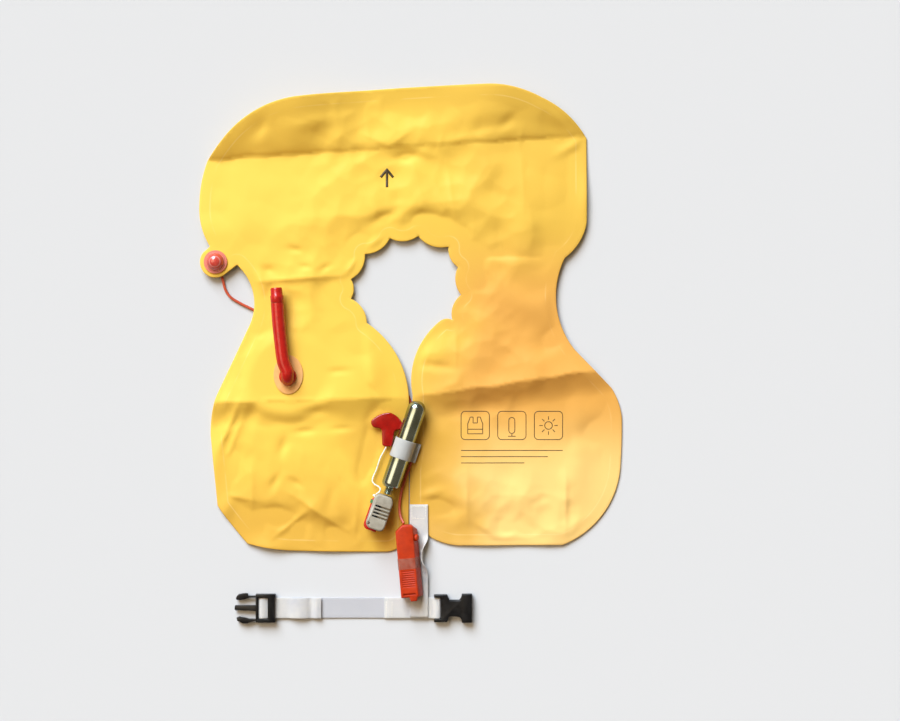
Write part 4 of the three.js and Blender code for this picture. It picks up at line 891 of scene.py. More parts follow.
def bulb_material():
    material = new_material("bulb", 0xFFF0DC, 0.12, {"Transmission Weight": 0.25, "Coat Weight": 0.5})
    mottle(material, 0xFFF3E2, 0xF6D9B4, scale=400, detail=2, start=0.3, end=0.7)
    return material


def tape_material():
    """Clear brownish film."""
    material = new_material("tape", 0xB08A7A, 0.25, {"Alpha": 0.2, "Coat Weight": 0.3})
    mottle(material, 0xB4907F, 0x8E5C48, scale=160, detail=4, start=0.35, end=0.7)
    add_bump(material, noise_factor(material, 420, 3), 0.06, 0.5)
    return material


def cord_material():
    material = new_material("white_cord", 0xE9E4D6, 0.75, {"Sheen Weight": 0.2})
    mottle(material, 0xEDE9DD, 0xD9D0BA, scale=180, detail=3, start=0.4, end=0.75)
    add_bump(material, noise_factor(material, 2600, 2), 0.05, 0.6)
    return material


# Shape of the lying cloth

def vest_corners():
    neck = []
    for cusp in SCALLOP_CUSPS:
        place = complex(*NECK_CENTRE) + cmath.rect(cusp.radius, math.radians(cusp.turn))
        neck.append(Corner(place.real, place.imag, SCALLOP_BULGE))
    return SLIT_EDGE + neck + OUTER_EDGE


def rim_distance(points, rim):
    nearest = np.full(len(points), np.inf)
    for start, end in zip(rim, np.roll(rim, -1, axis=0)):
        along = end - start
        share = np.clip((points - start) @ along / (along @ along), 0, 1)
        gap = points - start - share[:, None] * along
        nearest = np.minimum(nearest, np.hypot(gap[:, 0], gap[:, 1]))
    return nearest


def is_inside(points, rim):
    inside = np.zeros(len(points), bool)
    x, y = points.T
    for (ax, ay), (bx, by) in zip(rim, np.roll(rim, -1, axis=0)):
        if ay != by:
            crosses = (ay > y) != (by > y)
            inside ^= crosses & (x < ax + (bx - ax) * (y - ay) / (by - ay))
    return inside


def crease_line(crease, x):
    slope = np.where(x < 0, crease.slope_left, crease.slope_right)
    spots = [Vector((value / CREASE_WAVER["length"], crease.level, 0)) for value in x]
    waver = np.array([noise.noise(spot) for spot in spots])
    return crease.level + x * slope + CREASE_WAVER["size"] * waver


def fold_rise(folds, x, y):
    rise = np.zeros(len(x))
    for fold in folds:
        turn = math.radians(fold.turn)
        along = ((x - fold.x) * math.cos(turn) + (y - fold.y) * math.sin(turn)) / fold.reach
        offset = (y - fold.y) * math.cos(turn) - (x - fold.x) * math.sin(turn)
        across = np.abs(offset) / np.where(offset > 0, fold.left, fold.right)
        rise += fold.height * np.exp(-along**2 - across ** (1 if fold.sharp else 2))
    return rise


def noise_spots(x, y, z, size):
    return [Vector((a, b, z)) / size for a, b in zip(x, y)]


def crumple_rise(x, y):
    rise = np.zeros(len(x))
    for crumple in CRUMPLES:
        spots = noise_spots(x, y, crumple.size, crumple.size)
        rise += crumple.height * np.array([abs(noise.noise(spot)) - CRUMPLE_LEVEL for spot in spots])
    return rise


def facet_rise(x, y):
    """Flat facets between straight creases, in patches, as cloth keeps them from its packing."""
    patches = np.array([noise.noise(spot) for spot in noise_spots(x, y, 0, FACET_PATCHES["size"])])
    shown = smoothstep(patches, -FACET_PATCHES["edge"], FACET_PATCHES["edge"])
    rise = np.zeros(len(x))
    for facet in FACETS:
        spots = noise_spots(x, y, facet.size, facet.size)
        rise += facet.height * np.array([noise.voronoi(spot)[0][0] - FACET_LEVEL for spot in spots])
    return shown * rise


def lip_rise(x, y):
    offset = y - crease_line(LOWER_CREASE, x)
    run = np.where(offset > 0, CREASE_LIP["run_above"], CREASE_LIP["run_below"])
    share = mix(CREASE_LIP["left_share"], 1, smoothstep(x, CREASE_LIP["left"], CREASE_LIP["right"]))
    return CREASE_LIP["height"] * share * np.exp(-np.abs(offset) / run)


def back_underside(x, y):
    low, high = crease_line(LOWER_CREASE, x), crease_line(UPPER_CREASE, x)
    above_lower = smoothstep(y, low - LOWER_CREASE.run_below, low)
    below_upper = 1 - smoothstep(y, high - UPPER_CREASE.run_below, high)
    sag = mix(1, CREASE_SAG["keep"], np.exp(-(((x - CREASE_SAG["x"]) / CREASE_SAG["width"]) ** 2)))
    offset = y - low
    run = np.where(offset > 0, LOWER_CREASE.run_above, LOWER_CREASE.run_below)
    ridge = LOWER_CREASE.height * np.maximum(0, 1 - np.abs(offset) / run) ** 2
    beyond = np.maximum(0, y - high)
    sideways = smoothstep(np.abs(x - FLAP["x"]), FLAP["flat"], FLAP["turn"])
    height = mix(FLAP["middle"], np.where(x < FLAP["x"], FLAP["left"], FLAP["right"]), sideways)
    flap = height * (1 - np.exp(-beyond / FLAP["run"]))
    flap += FLAP["lip"] * (1 - np.exp(-beyond / FLAP["lip_run"]))
    lying = MIDDLE_LIFT * above_lower * below_upper + ridge * sag + flap
    return mix(LAMP["base"], lying, away_from(LAMP, x, y))


def lying_tree(names):
    corners, faces = [], []
    for name in names:
        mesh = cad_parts[name].data
        start = len(corners)
        corners += [vertex.co / MM for vertex in mesh.vertices]
        faces += [[start + k for k in polygon.vertices] for polygon in mesh.polygons]
    return BVHTree.FromPolygons(corners, faces)


def ceiling(points):
    """The height of the lowest piece over each point, or a large one."""
    without_lead = lying_tree(LYING_PIECES)
    with_lead = lying_tree(LYING_PIECES + ["lamp_lead"])
    heights = np.full(len(points), FAR_ABOVE)
    for k, (x, y) in enumerate(points):
        tree = with_lead if y < LEAD_SURFACES else without_lead
        place, _, _, _ = tree.ray_cast(Vector((x, y, -1)), UP)
        if place is not None:
            heights[k] = place.z
    return heights


def clear_of_pieces(points, heights):
    """0 under the lying pieces, 1 well away from them."""
    covered = np.flatnonzero(heights < FAR_ABOVE)
    tree = KDTree(len(covered))
    for k in covered:
        tree.insert((*points[k], 0), int(k))
    tree.balance()
    distance = np.array([tree.find((x, y, 0))[2] for x, y in points])
    return smoothstep(distance, 0, CLEAR_RUN)


def cloth_heights(points, rim):
    """Undersides of the back and front plies."""
    x, y = points.T
    top = ceiling(points)
    clear = clear_of_pieces(points, top)
    loose = smoothstep(rim, WELD_WIDTH, WELD_WIDTH + SLACK_RUN)
    wrinkled = smoothstep(rim, WRINKLE_RUN["from"], WRINKLE_RUN["to"])
    back = np.maximum(0, back_underside(x, y) + clear * fold_rise(RIM_FOLDS, x, y))
    on_back = back + PLY + GAP * smoothstep(rim, 0, WELD_WIDTH)
    lying = on_back + np.maximum(0, loose * (SLACK + fold_rise(BROAD_FOLDS, x, y)))
    fine = FOLD_DEPTH * fold_rise(FRONT_FOLDS, x, y) + crumple_rise(x, y)
    fine += facet_rise(x, y) + lip_rise(x, y)
    lying = lying + clear * wrinkled * fine
    under_seat = back_underside(np.array([SEAT["x"]]), np.array([SEAT["y"]]))[0]
    lying = mix(under_seat + PLY + GAP + SLACK, lying, away_from(SEAT, x, y))
    low = SWEEP["height"] * np.tanh(lying / SWEEP["height"])
    lying = mix(low, lying, away_from(SWEEP, x, y))
    front = np.minimum(np.maximum(on_back, lying), top - CLEARANCE - PLY)
    return np.minimum(back, front - PLY), front


def cloth_net(step):
    """Flat triangles inside the outline, with corners along the rim and along both creases."""
    rim = bulged_outline(vest_corners(), step)
    columns = np.arange(SHEET["left"], SHEET["right"], step)
    creases = [np.column_stack([columns, crease_line(crease, columns)]) for crease in CREASES]
    rows = np.arange(SHEET["bottom"], SHEET["top"], step * math.sqrt(0.75))
    lattice = []
    for k, y in enumerate(rows):
        shifted = columns + step / 2 * (k % 2)
        lattice.append(np.column_stack([shifted, np.full(len(shifted), y)]))
    lattice = np.vstack(lattice)
    lattice = lattice[is_inside(lattice, rim)]
    for crease in CREASES:
        off_crease = np.abs(lattice[:, 1] - crease_line(crease, lattice[:, 0]))
        lattice = lattice[off_crease > step * CREASE_ROOM]
    lattice = lattice[rim_distance(lattice, rim) > RIM_ROUND + step * RIM_ROOM]
    points = np.vstack([rim, rim + RIM_ROUND * inward_of(rim), lattice])
    edges = []
    for line in creases:
        kept = is_inside(line, rim) & (rim_distance(line, rim) > RIM_ROUND + step * RIM_ROOM)
        places = len(points) + np.cumsum(kept) - 1
        both = kept[:-1] & kept[1:]
        edges += list(zip(places[:-1][both].tolist(), places[1:][both].tolist()))
        points = np.vstack([points, line[kept]])
    flat = [Vector(point) for point in points]
    outline = list(range(len(rim)))
    found = geometry.delaunay_2d_cdt(flat, edges, [outline], INSIDE_ONLY, NET_LIMIT)
    corners = np.array([tuple(corner) for corner in found[0]])
    faces = np.array([face for face in found[2] if len(face) == 3])
    a, b, c = (corners[faces[:, k]] for k in range(3))
    turned = (b[:, 0] - a[:, 0]) * (c[:, 1] - a[:, 1]) < (b[:, 1] - a[:, 1]) * (c[:, 0] - a[:, 0])
    faces[turned] = faces[turned][:, ::-1]
    return corners, faces


def cloth_ply(name, corners, faces, underside, rim, material):
    """A closed ply of cloth with a rounded rim."""
    count = len(corners)
    drop = RIM_DROP * (1 - smoothstep(rim, 0, RIM_ROUND))
    upper = np.column_stack([corners, underside + PLY - drop])
    lower = np.column_stack([corners, underside + drop])
    around = {(a, b) for face in faces.tolist() for a, b in zip(face, face[1:] + face[:1])}
    open_edges = [(a, b) for a, b in sorted(around) if (b, a) not in around]
    everything = faces.tolist() + (faces[:, ::-1] + count).tolist()
    everything += [(a, a + count, b + count, b) for a, b in open_edges]
    made = add_object(name, np.vstack([upper, lower]), everything, material)
    add_attribute(made, "rim", np.concatenate([rim, rim]))
    return made


def make_cloth():
    outline = bulged_outline(vest_corners(), FRONT_STEP)
    finishes = {
        "front": cloth_material("cloth_front", FRONT_COLOURS),
        "back": cloth_material("cloth_back", BACK_COLOURS),
    }
    plies = {}
    for side, step in (("front", FRONT_STEP), ("back", BACK_STEP)):
        corners, faces = cloth_net(step)
        rim = rim_distance(corners, outline)
        back, front = cloth_heights(corners, rim)
        underside = front if side == "front" else back
        ply = cloth_ply(side + "_cloth", corners, faces, underside, rim, finishes[side])
        settle(ply, "vest", side + "_panel")
        plies[side] = ply
    return plies


# Cords


def make_lead():
    finish = plastic_material("red_lead")
    points = smooth_route(LEAD_ROUTE)

    def twin_radius(angle, _):
        return LEAD["diameter"] / 2 * mix(LEAD["flat"], 1, abs(math.cos(angle)))

    lead = add_object("lead", *tube(points, twin_radius, LEAD["sides"]), finish)
    settle(lead, "vest", "lamp_lead")


def make_lanyard(finish):
    points = smooth_route(LANYARD_ROUTE)

    def strand_radius(angle, so_far):
        swell = math.cos(LANYARD["strands"] * angle - 2 * math.pi * so_far / LANYARD["lay"])
        return LANYARD["diameter"] / 2 * (1 + LANYARD["groove"] * (swell - 1))

    lanyard = add_object("lanyard", *tube(points, strand_radius, LANYARD["sides"]), finish)
    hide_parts("pull_lanyard")
    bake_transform(lanyard)


# Hard pieces

def refined(name, node, material, bevel, body="vest"):
    """A CAD node's own form with its flat faces joined up and its edges rounded."""
    form = bmesh.new()
    form.from_mesh(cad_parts[node].data)
    bmesh.ops.remove_doubles(form, verts=form.verts, dist=WELD_LIMIT)
    bmesh.ops.dissolve_limit(form, angle_limit=math.radians(FLAT_ANGLE), verts=form.verts, edges=form.edges)
    corner = math.radians(SHARP_ANGLE)
    sharp = [edge for edge in form.edges if edge.is_manifold and edge.calc_face_angle(0) > corner]
    bmesh.ops.bevel(form, geom=sharp, offset=bevel * MM, segments=BEVEL_STEPS, profile=0.5, affect="EDGES")
    bmesh.ops.recalc_face_normals(form, faces=form.faces)
    mesh = bpy.data.meshes.new(name)
    form.to_mesh(mesh)
    form.free()
    mesh.materials.append(material)
    made = add_to_scene(name, mesh)
    finish_hard(made)
    return settle(made, body, node)


def finish_hard(made):
    """Smooth shading that keeps the sharp edges."""
    made.data.polygons.foreach_set("use_smooth", [True] * len(made.data.polygons))
    made.data.set_sharp_from_angle(angle=math.radians(SHARP_ANGLE))


def settle(made, body, *nodes):
    """Rides on a body in place of its CAD nodes."""
    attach(made, body)
    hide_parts(*nodes)
    return made


def add_hard(name, form, matrix, material, *nodes):
    """A smooth hard piece of the vest, placed by a matrix, in place of its CAD nodes."""
    corners, faces = form
    made = add_object(name, placed(corners, matrix), faces, material)
    finish_hard(made)
    settle(made, "vest", *nodes)


def lathe(profile, sides):
    """Corners and faces of a body turned about Z, from rows of radius and height."""
    corners, rings, faces = [], [], []
    for radius, height in profile:
        count = sides if radius > 0 else 1
        rings.append([len(corners) + k for k in range(count)])
        for k in range(count):
            angle = 2 * math.pi * k / count
            corners.append((radius * math.cos(angle), radius * math.sin(angle), height))
    for low, high in zip(rings, rings[1:]):
        for k in range(sides):
            below = [low[k % len(low)], low[(k + 1) % len(low)]]
            above = [high[(k + 1) % len(high)], high[k % len(high)]]
            faces.append(tuple(dict.fromkeys(below + above)))
    return np.array(corners), faces


def arc(centre, radius, start, end, steps):
    """Rows of a round stretch of a profile, as radius and height."""
    angles = np.radians(np.linspace(start, end, steps + 1))
    return [(centre[0] + radius[0] * math.cos(a), centre[1] + radius[1] * math.sin(a)) for a in angles]


def rounded_plate(outline, thick, edge):
    """Corners and faces of a plate with rounded edges, on its own z = 0."""
    inward = inward_of(outline)
    angles = np.linspace(0, math.pi / 2, EDGE_STEPS + 1)
    rows = [(edge * (1 - math.sin(a)), edge * (1 - math.cos(a))) for a in angles]
    rows += [(inset, thick - height) for inset, height in reversed(rows)]
    corners = [np.column_stack([outline + inset * inward, np.full(len(outline), z)]) for inset, z in rows]
    inside_out = ring_faces(len(corners), len(outline))
    return np.vstack(corners), [face[:1] + face[:0:-1] for face in inside_out]


def placed(corners, matrix):
    return [matrix @ Vector(corner) for corner in corners]


def gas_frame():
    """Where the cylinder's neck is, with Y along its axis."""
    low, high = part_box("co2_cylinder")
    height = (low.z + high.z) / 2 / MM
    lean = Matrix.Rotation(math.radians(GAS["turn"]), 4, "Z")
    return Matrix.Translation((GAS["x"], GAS["y"], height)) @ lean


def make_cylinder():
    size = CYLINDER
    groove = size["neck"] - size["thread_depth"]
    profile = [(0, size["neck_start"]), (size["neck"] - size["neck_edge"], size["neck_start"])]
    for k in range(size["threads"]):
        height = size["neck_start"] + size["thread_start"] + k * size["thread_pitch"]
        profile += [(size["neck"], height), (groove, height + size["thread_pitch"] / 2)]
    profile.append((size["neck"], size["neck_end"] - size["thread_end"]))
    swell = (size["radius"] - size["neck"], size["shoulder"])
    profile += arc((size["neck"], size["neck_end"] + size["shoulder"]), swell, -90, 0, ROUND_STEPS)
    top = size["length"] - size["radius"]
    profile += arc((0, top), (size["radius"], size["radius"]), 0, NEAR_TOP, ROUND_STEPS)
    profile.append((0, size["length"]))
    form = lathe(profile, size["sides"])
    add_hard("gas_cylinder", form, gas_frame() @ ALONG_Y, plated_material(), "co2_cylinder")


def ribbon(stations, width, thick, columns, curl=None):
    """Corners, faces, and each corner's place along and across, of webbing through stations.

    A station is the webbing's middle, its side direction and its upper direction. curl gives the angle by
    which the strap's right side is bent up at a y.
    """
    half, round_edge = width / 2, thick / 2
    flat = np.linspace(half - round_edge, -half + round_edge, columns)
    arcs = np.radians((-60, -30, 0, 30, 60))
    section = [(half - round_edge + round_edge * math.cos(a), round_edge * math.sin(a)) for a in arcs]
    section += [(across, round_edge) for across in flat]
    section += [(-across, -up) for across, up in section]
    corners, along, across_of = [], [], []
    so_far, before = 0.0, stations[0][0]
    for middle, side, upper in stations:
        so_far += float(np.linalg.norm(middle - before))
        before = middle
        angle = curl(middle[1]) if curl else 0
        for across, up in section:
            sideways, upwards = curled(across, up, angle)
            corners.append(middle + sideways * side + upwards * upper)
            along.append(so_far)
            across_of.append(across)
    return corners, ring_faces(len(stations), len(section)), along, across_of


def add_webbing(name, strip, matrix, material, node):
    """Webbing of the vest, placed by a matrix, in place of its CAD node."""
    corners, faces, along, across = strip
    made = add_object(name, placed(corners, matrix), faces, material)
    add_attribute(made, "along", along)
    add_attribute(made, "across", across)
    return settle(made, "vest", node)


def level_stations(rows, side):
    """Stations of a ribbon whose side keeps one direction."""
    points = smooth_route(rows)
    side = np.array(side, float)
    return [(point, side, np.cross(side, ahead)) for point, ahead in zip(points, directions_of(points))]


def make_band(webbing):
    """White band over the cylinder, with a foot at its left and a free tail at its right."""
    radius = CYLINDER["radius"] + GAP + BAND["wall"] / 2
    frame_of_gas = gas_frame()
    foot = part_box("cylinder_band")[0].z / MM - frame_of_gas.translation.z + BAND["wall"] / 2
    tail = foot + BAND["tail_lift"]
    middle = BAND["from"] + BAND["length"] / 2
    rows = [(-radius - BAND["foot"], foot), (-radius - 2 * BAND["splay"], foot)]
    rows.append((-radius - BAND["splay"], foot / 2))
    rows += [tuple(row) for row in arc((0, 0), (radius, radius), 180, 0, BAND["arcs"])]
    rows += [(radius + BAND["splay"], tail / 2), (radius + 2 * BAND["splay"], tail)]
    rows.append((radius + BAND["tail"], tail))
    stations = level_stations([(across, middle, up) for across, up in rows], (0, 1, 0))
    strip = ribbon(stations, BAND["length"], BAND["wall"], BAND["columns"])
    add_webbing("band", strip, frame_of_gas, webbing, "cylinder_band")


def curled(across, up, angle):
    """Where a place across the strap comes to when its right side is bent upwards."""
    beyond = across - STRAP_CURL["across"]
    if beyond <= 0 or angle <= 0:
        return across, up
    radius = STRAP_CURL["radius"]
    bend = min(beyond / radius, angle)
    rest = beyond - bend * radius
    sideways = (radius - up) * math.sin(bend) + rest * math.cos(bend)
    upwards = radius - (radius - up) * math.cos(bend) + rest * math.sin(bend)
    return STRAP_CURL["across"] + sideways, upwards


def strap_curl(y):
    share = min(1, abs(y - STRAP_CURL["y"]) / STRAP_CURL["half"])
    return math.radians(STRAP_CURL["turn"]) * math.cos(share * math.pi / 2) ** 2


def make_strap(webbing):
    route = smooth_route([(row.x, row.y, row.z, row.roll) for row in STRAP_ROUTE])
    stations = []
    for x, y, z, roll in route[::-1]:
        turn = math.radians(roll)
        side = np.array((math.cos(turn), 0, math.sin(turn)))
        stations.append((np.array((x, y, z)), side, np.cross(side, (0, 1, 0))))
    strip = ribbon(stations, STRAP["width"], STRAP["thick"], STRAP["columns"], strap_curl)
    return add_webbing("drop_webbing", strip, Matrix.Identity(4), webbing, "drop_strap")


def make_belt(webbing):
    rows = [(row.x, BELT["y"], row.z) for row in BELT_ROUTE]
    strip = ribbon(level_stations(rows, (0, 1, 0)), BELT["width"], BELT["thick"], BELT["columns"])
    return add_webbing("belt", strip, Matrix.Identity(4), webbing, "belt_webbing")


def make_pull_tab(finish):
    low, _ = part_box("pull_tab")
    outline = bulged_outline(PULL_TAB_OUTLINE, PULL_TAB["step"])
    form = rounded_plate(outline, PULL_TAB["thick"], PULL_TAB["edge"])
    spot = Matrix.Translation((PULL_TAB["x"], PULL_TAB["y"], low.z / MM))
    turned = spot @ Matrix.Rotation(math.radians(PULL_TAB["turn"]), 4, "Z")
    add_hard("pull_handle", form, turned, finish, "pull_tab")


def elbow_rows():
    """Rows across and up of the quarter bend from the collar into the tube."""
    bend = TUBE["elbow"]
    return [(bend - across, up) for across, up in arc((0, 0), (bend, bend), 0, 90, TUBE["elbow_steps"])]


def make_mouth_tube(finish):
    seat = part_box("oral_tube")[0].z / MM
    elbow = [(TUBE["elbow_x"], TUBE["elbow_y"] + across, seat + up) for across, up in elbow_rows()]
    points = smooth_route(elbow + [(row.x, row.y, seat + row.rise) for row in TUBE_RUN])
    body = add_object("mouth_tube", *tube(points, TUBE["radius"], TUBE["sides"]), finish)
    finish_hard(body)
    settle(body, "vest", "oral_tube")
    foot = Matrix.Translation((TUBE["elbow_x"], TUBE["elbow_y"] + COLLAR_SHIFT, seat))
    add_hard("tube_collar", lathe(COLLAR, TUBE["sides"]), foot, finish)
    ahead = Vector(points[-1] - points[-2]).normalized()
    turned = Matrix.Translation(points[-1]) @ ahead.to_track_quat("Z", "Y").to_matrix().to_4x4()
    add_hard("mouthpiece", lathe(MOUTHPIECE, TUBE["sides"]), turned, finish, "oral_mouthpiece")


def make_patch():
    low, high = (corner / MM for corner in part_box("oral_flange"))
    centre, half = (low + high) / 2, (high - low) / 2
    angles = np.linspace(0, 2 * math.pi, PATCH["sides"], endpoint=False)
    outline = np.column_stack([centre.x + half.x * np.cos(angles), centre.y + half.y * np.sin(angles)])
    form = rounded_plate(outline, high.z - low.z, PATCH["edge"])
    add_hard("tube_patch", form, Matrix.Translation((0, 0, low.z)), patch_material(), "oral_flange")


def lens_profile():
    """Hollow dome on a flange, from the inside of its top out and round to the outside."""
    dome, wall, ring = LENS["dome"], LENS["wall"], LENS["ring_high"]
    rise = LENS["height"] - ring
    inside = arc((0, ring), (dome - wall, rise - wall), NEAR_TOP, 0, ROUND_STEPS)
    outside = arc((0, ring), (dome, rise), 0, NEAR_TOP, ROUND_STEPS)
    edge, step = LENS["edge"], LENS["step"]
    flange = [
        (dome - wall, 0),
        (LENS["flange"] - edge, 0),
        (LENS["flange"], edge),
        (LENS["flange"], LENS["flange_high"] - edge),
        (LENS["flange"] - edge, LENS["flange_high"]),
        (LENS["ring"] + step, LENS["flange_high"]),
        (LENS["ring"], ring - step),
        (LENS["ring"] - step, ring),
    ]
    return [(0, LENS["height"] - wall)] + inside + flange + outside + [(0, LENS["height"])]


def make_lamp(black):
    low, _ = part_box("lamp_lens")
    spot = Matrix.Translation((LAMP["x"], LAMP["y"], low.z / MM))
    add_hard("lens", lathe(lens_profile(), LENS["sides"]), spot, lens_material(), "lamp_lens")
    refined("bulb", "lamp_bulb", bulb_material(), bevel=0.3)
    refined("lamp_foot", "lamp_base", black, bevel=0.6)


def make_knot(finish):
    """A small overhand knot at the lever's tip."""
    low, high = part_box("lanyard_knot")
    middle = (low + high) / 2 / MM
    turn = np.linspace(KNOT["open"], 2 * math.pi - KNOT["open"], KNOT["points"])
    loop = [np.sin(turn) + 2 * np.sin(2 * turn), np.cos(turn) - 2 * np.cos(2 * turn), -np.sin(3 * turn)]
    points = np.array(middle) + KNOT["size"] * np.column_stack(loop)
    knot = add_object("cord_knot", *tube(points, KNOT["cord"], KNOT["sides"]), finish)
    settle(knot, "lever", "lanyard_knot")


def make_vent_shade_blocks(black):
    """Black blocks at the left ends of the vents: painted shade for the dark inside of their openings."""
    size = VENT_SHADE_BLOCK
    forms = []
    for k in range(size["count"]):
        spot = Vector((size["x"], size["first"] - k * size["pitch"], size["rise"]))
        half = Vector((size["half"], size["width"] / 2, size["tall"] / 2))
        corners = [
            spot + Vector((sx * half.x, sy * half.y, sz * half.z))
            for sz in (-1, 1)
            for sx, sy in ((-1, -1), (1, -1), (1, 1), (-1, 1))
        ]
        forms.append((placed(corners, gas_frame()), ring_faces(2, 4)))
    settle(add_joined("vent_shade_blocks", forms, black), "vest")


def make_inflator(red, green, black):
    casting = plastic_material("grey_casting")
    refined("inflator", "inflator_body", casting, bevel=0.5)
    # Black blocks of painted shade in the vents' openings
    make_vent_shade_blocks(black)
    refined("lever_arm", "inflator_lever", red, bevel=0.35, body="lever")
    refined("clip", "lever_clip", green, bevel=0.25, body="lever")
    steel = plastic_material("steel_pin")
    refined("pivot_pin", "lever_pin", steel, bevel=0.3)


def make_battery():
    orange = plastic_material("orange_plastic")
    refined("battery", "battery_case", orange, bevel=0.5)
    refined("battery_cap", "battery_plug", orange, bevel=0.4)
    refined("tape_strip", "battery_tape", tape_material(), bevel=0.1)


def make_buckle(black):
    refined("buckle_plug_half", "buckle_male", black, bevel=0.5)
    refined("buckle_socket_half", "buckle_female", black, bevel=0.5)


# Marks and stitches

def surface_of(piece):
    """Something to feel a piece's upper surface with, in millimetres."""
    corners = [vertex.co / MM for vertex in piece.data.vertices]
    return BVHTree.FromPolygons(corners, [polygon.vertices for polygon in piece.data.polygons])


def height_on(surface, x, y):
    place, _, _, _ = surface.ray_cast(Vector((x, y, FAR_ABOVE)), -UP)
    return place.z if place else 0


def resampled(points, step):
    rows = []
    for a, b in zip(points, points[1:]):
        start, end = np.array(a, float), np.array(b, float)
        count = max(1, math.ceil(np.linalg.norm(end - start) / step))
        rows += [mix(start, end, k / count) for k in range(count)]
    rows.append(np.array(points[-1], float))
    return np.array(rows)


def ink_strip(points, width, surface):
    """Corners and faces of a thin closed strip that lies on the cloth."""
    path = resampled(points, INK["step"])
    side = left_of(np.gradient(path, axis=0)) * width / 2
    corners = []
    for (left_x, left_y), (right_x, right_y) in zip(path + side, path - side):
        left, right = height_on(surface, left_x, left_y), height_on(surface, right_x, right_y)
        corners.append((left_x, left_y, left + INK["lift"]))
        corners.append((left_x, left_y, left - INK["sink"]))
        corners.append((right_x, right_y, right - INK["sink"]))
        corners.append((right_x, right_y, right + INK["lift"]))
    return corners, ring_faces(len(path), 4)


def add_joined(name, forms, material):
    """One object from many small closed forms."""
    corners, faces = [], []
    for form_corners, form_faces in forms:
        start = len(corners)
        corners += list(form_corners)
        faces += [tuple(start + k for k in face) for face in form_faces]
    made = add_object(name, corners, faces, material)
    mesh = bmesh.new()
    mesh.from_mesh(made.data)
    bmesh.ops.recalc_face_normals(mesh, faces=mesh.faces)
    mesh.to_mesh(made.data)
    mesh.free()
    return made


def moved(lines, x, y):
    return [[(x + a, y + b) for a, b in line] for line in lines]


def ring_line(x, y, radius, start, end, steps=ROUND_STEPS):
    return arc((x, y), (radius, radius), start, end, steps)


def card_frame():
    """A square with rounded corners."""
    inner = CARDS["half"] - CARDS["corner"]
    line = []
    for quarter, (x, y) in enumerate([(1, 1), (-1, 1), (-1, -1), (1, -1)]):
        start = 90 * quarter
        line += ring_line(x * inner, y * inner, CARDS["corner"], start, start + 90, EDGE_STEPS)
    return line + line[:1]


def vest_sign():
    other_side = [(-x, y) for x, y in reversed(VEST_SIGN_SIDE)]
    edge = other_side[-1:] + VEST_SIGN_SIDE + other_side
    half = VEST_SIGN_SIDE[0][0]
    return [edge, [(-half, VEST_SIGN_BELT), (half, VEST_SIGN_BELT)]]


def pull_sign():
    half, radius = PULL_SIGN["half"], PULL_SIGN["radius"]
    capsule = ring_line(0, half, radius, 0, 180) + ring_line(0, -half, radius, 180, 360)
    return [capsule + capsule[:1], PULL_SIGN["cord"], PULL_SIGN["grip"]]


def lamp_sign():
    lines = [ring_line(0, 0, LAMP_SIGN["radius"], 0, 360)]
    ends = (LAMP_SIGN["inner"], LAMP_SIGN["outer"])
    for k in range(LAMP_SIGN["rays"]):
        turn = 2 * math.pi * k / LAMP_SIGN["rays"]
        lines.append([(end * math.cos(turn), end * math.sin(turn)) for end in ends])
    return lines


def make_marks(cloth):
    ink = plastic_material("ink")
    surface = surface_of(cloth)
    arrow = moved(ARROW_LINES, ARROW["x"], ARROW["y"])
    thin = []
    for k, sign in enumerate((vest_sign(), pull_sign(), lamp_sign())):
        thin += moved([card_frame()] + sign, CARDS["x"] + k * CARDS["pitch"], CARDS["y"])
    for k, length in enumerate(RULES["lengths"]):
        y = RULES["top"] - k * RULES["pitch"]
        thin.append([(RULES["left"], y), (RULES["left"] + length, y)])
    forms = [ink_strip(line, ARROW["line"], surface) for line in arrow]
    forms += [ink_strip(line, CARDS["line"], surface) for line in thin]
    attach(add_joined("printed_marks", forms, ink), "vest")


def stitch(start, end, surface):
    """A short thread that arches over the webbing and dips into it at both ends."""
    points = []
    for share in np.linspace(0, 1, STITCH["points"]):
        x, y = mix(start, end, share)
        arch = mix(-STITCH["sink"], STITCH["rise"], math.sin(share * math.pi) ** 0.5)
        points.append((x, y, height_on(surface, x, y) + arch))
    return tube(np.array(points), STITCH["radius"], STITCH["sides"])


def make_stitches(name, piece, seams, thread):
    surface = surface_of(piece)
    forms = []
    for seam in seams:
        start, end = np.array((seam.x, seam.y)), np.array((seam.to_x, seam.to_y))
        length = np.linalg.norm(end - start)
        ahead = (end - start) / length
        for k in range(int(length / STITCH["pitch"])):
            first = start + ahead * k * STITCH["pitch"]
            forms.append(stitch(first, first + ahead * STITCH["length"], surface))
    settle(add_joined(name, forms, thread), "vest")


# Floor, lights and camera

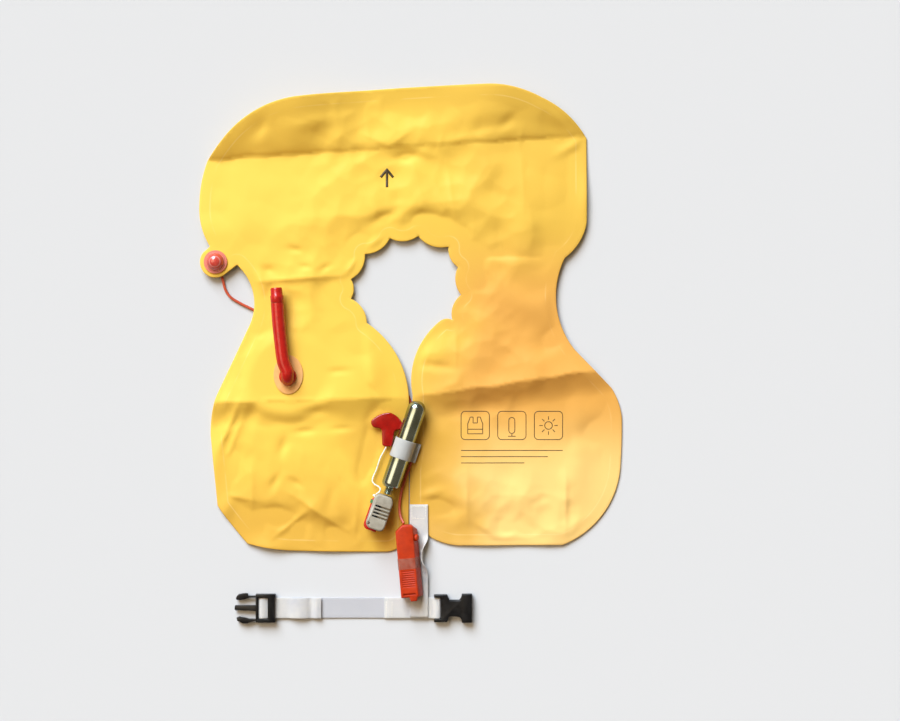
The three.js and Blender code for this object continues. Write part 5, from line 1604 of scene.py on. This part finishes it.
def add_sun():
    data = bpy.data.lights.new("sun", "SUN")
    data.energy = SUN["strength"]
    data.angle = math.radians(SUN["angle"])
    data.color = SUN["colour"]
    light = add_to_scene("sun", data)
    light.rotation_mode = "QUATERNION"
    light.rotation_quaternion = (-Vector(SUN["towards"])).to_track_quat("-Z", "Y")


def add_world():
    """Soft warm light from all round, with a bright patch high at the left."""
    world = bpy.data.worlds.new("studio")
    world.use_nodes = True
    place = add_node(world, "TexCoord").outputs["Generated"]
    towards = Vector(SKY["towards"]).normalized()
    facing = add_node(world, "VectorMath", {0: place, 1: towards}, operation="DOT_PRODUCT").outputs["Value"]
    glow = ranged(world, facing, SKY["edge"], SKY["core"], SKY_LIGHT["dim"], SKY_LIGHT["bright"])
    background = world.node_tree.nodes["Background"]
    background.inputs["Color"].default_value = SKY["colour"]
    world.node_tree.links.new(glow, background.inputs["Strength"])
    bpy.context.scene.world = world


def make_stage():
    gloss = {"Specular IOR Level": FLOOR["specular"]}
    finish = new_material("floor", FLOOR["colour"], FLOOR["roughness"], gloss)
    half, depth = FLOOR["half"], FLOOR["depth"]
    corners = [(-half, -half, -depth), (half, -half, -depth), (half, half, -depth), (-half, half, -depth)]
    add_object("floor", corners, [(0, 1, 2, 3)], finish)
    add_sun()
    add_world()
    bpy.context.scene.view_settings.view_transform = "Standard"


def make_camera():
    data = bpy.data.cameras.new("camera")
    data.lens = CAMERA["lens"]
    data.sensor_width = CAMERA["sensor"]
    camera = add_to_scene("camera", data)
    camera.location = Vector((CAMERA["x"], CAMERA["y"], CAMERA["height"])) * MM
    bpy.context.scene.camera = camera


red = plastic_material("red_plastic")
deep_red = plastic_material("red_plastic_deep")
black = plastic_material("black_plastic")
green = plastic_material("green_plastic")
white_cord = cord_material()
webbing = webbing_material("white_webbing")
band_webbing = webbing_material("white_webbing_deep")

make_camera()
make_stage()
make_lead()
make_lanyard(white_cord)
make_knot(white_cord)
plies = make_cloth()
make_marks(plies["front"])
make_lamp(black)
make_mouth_tube(red)
make_patch()
make_cylinder()
make_band(band_webbing)
make_inflator(red, green, black)
make_pull_tab(deep_red)
make_battery()
make_stitches("strap_stitches", make_strap(webbing), STRAP_SEAMS, white_cord)
make_stitches("belt_stitches", make_belt(webbing), BELT_SEAMS, white_cord)
make_buckle(black)
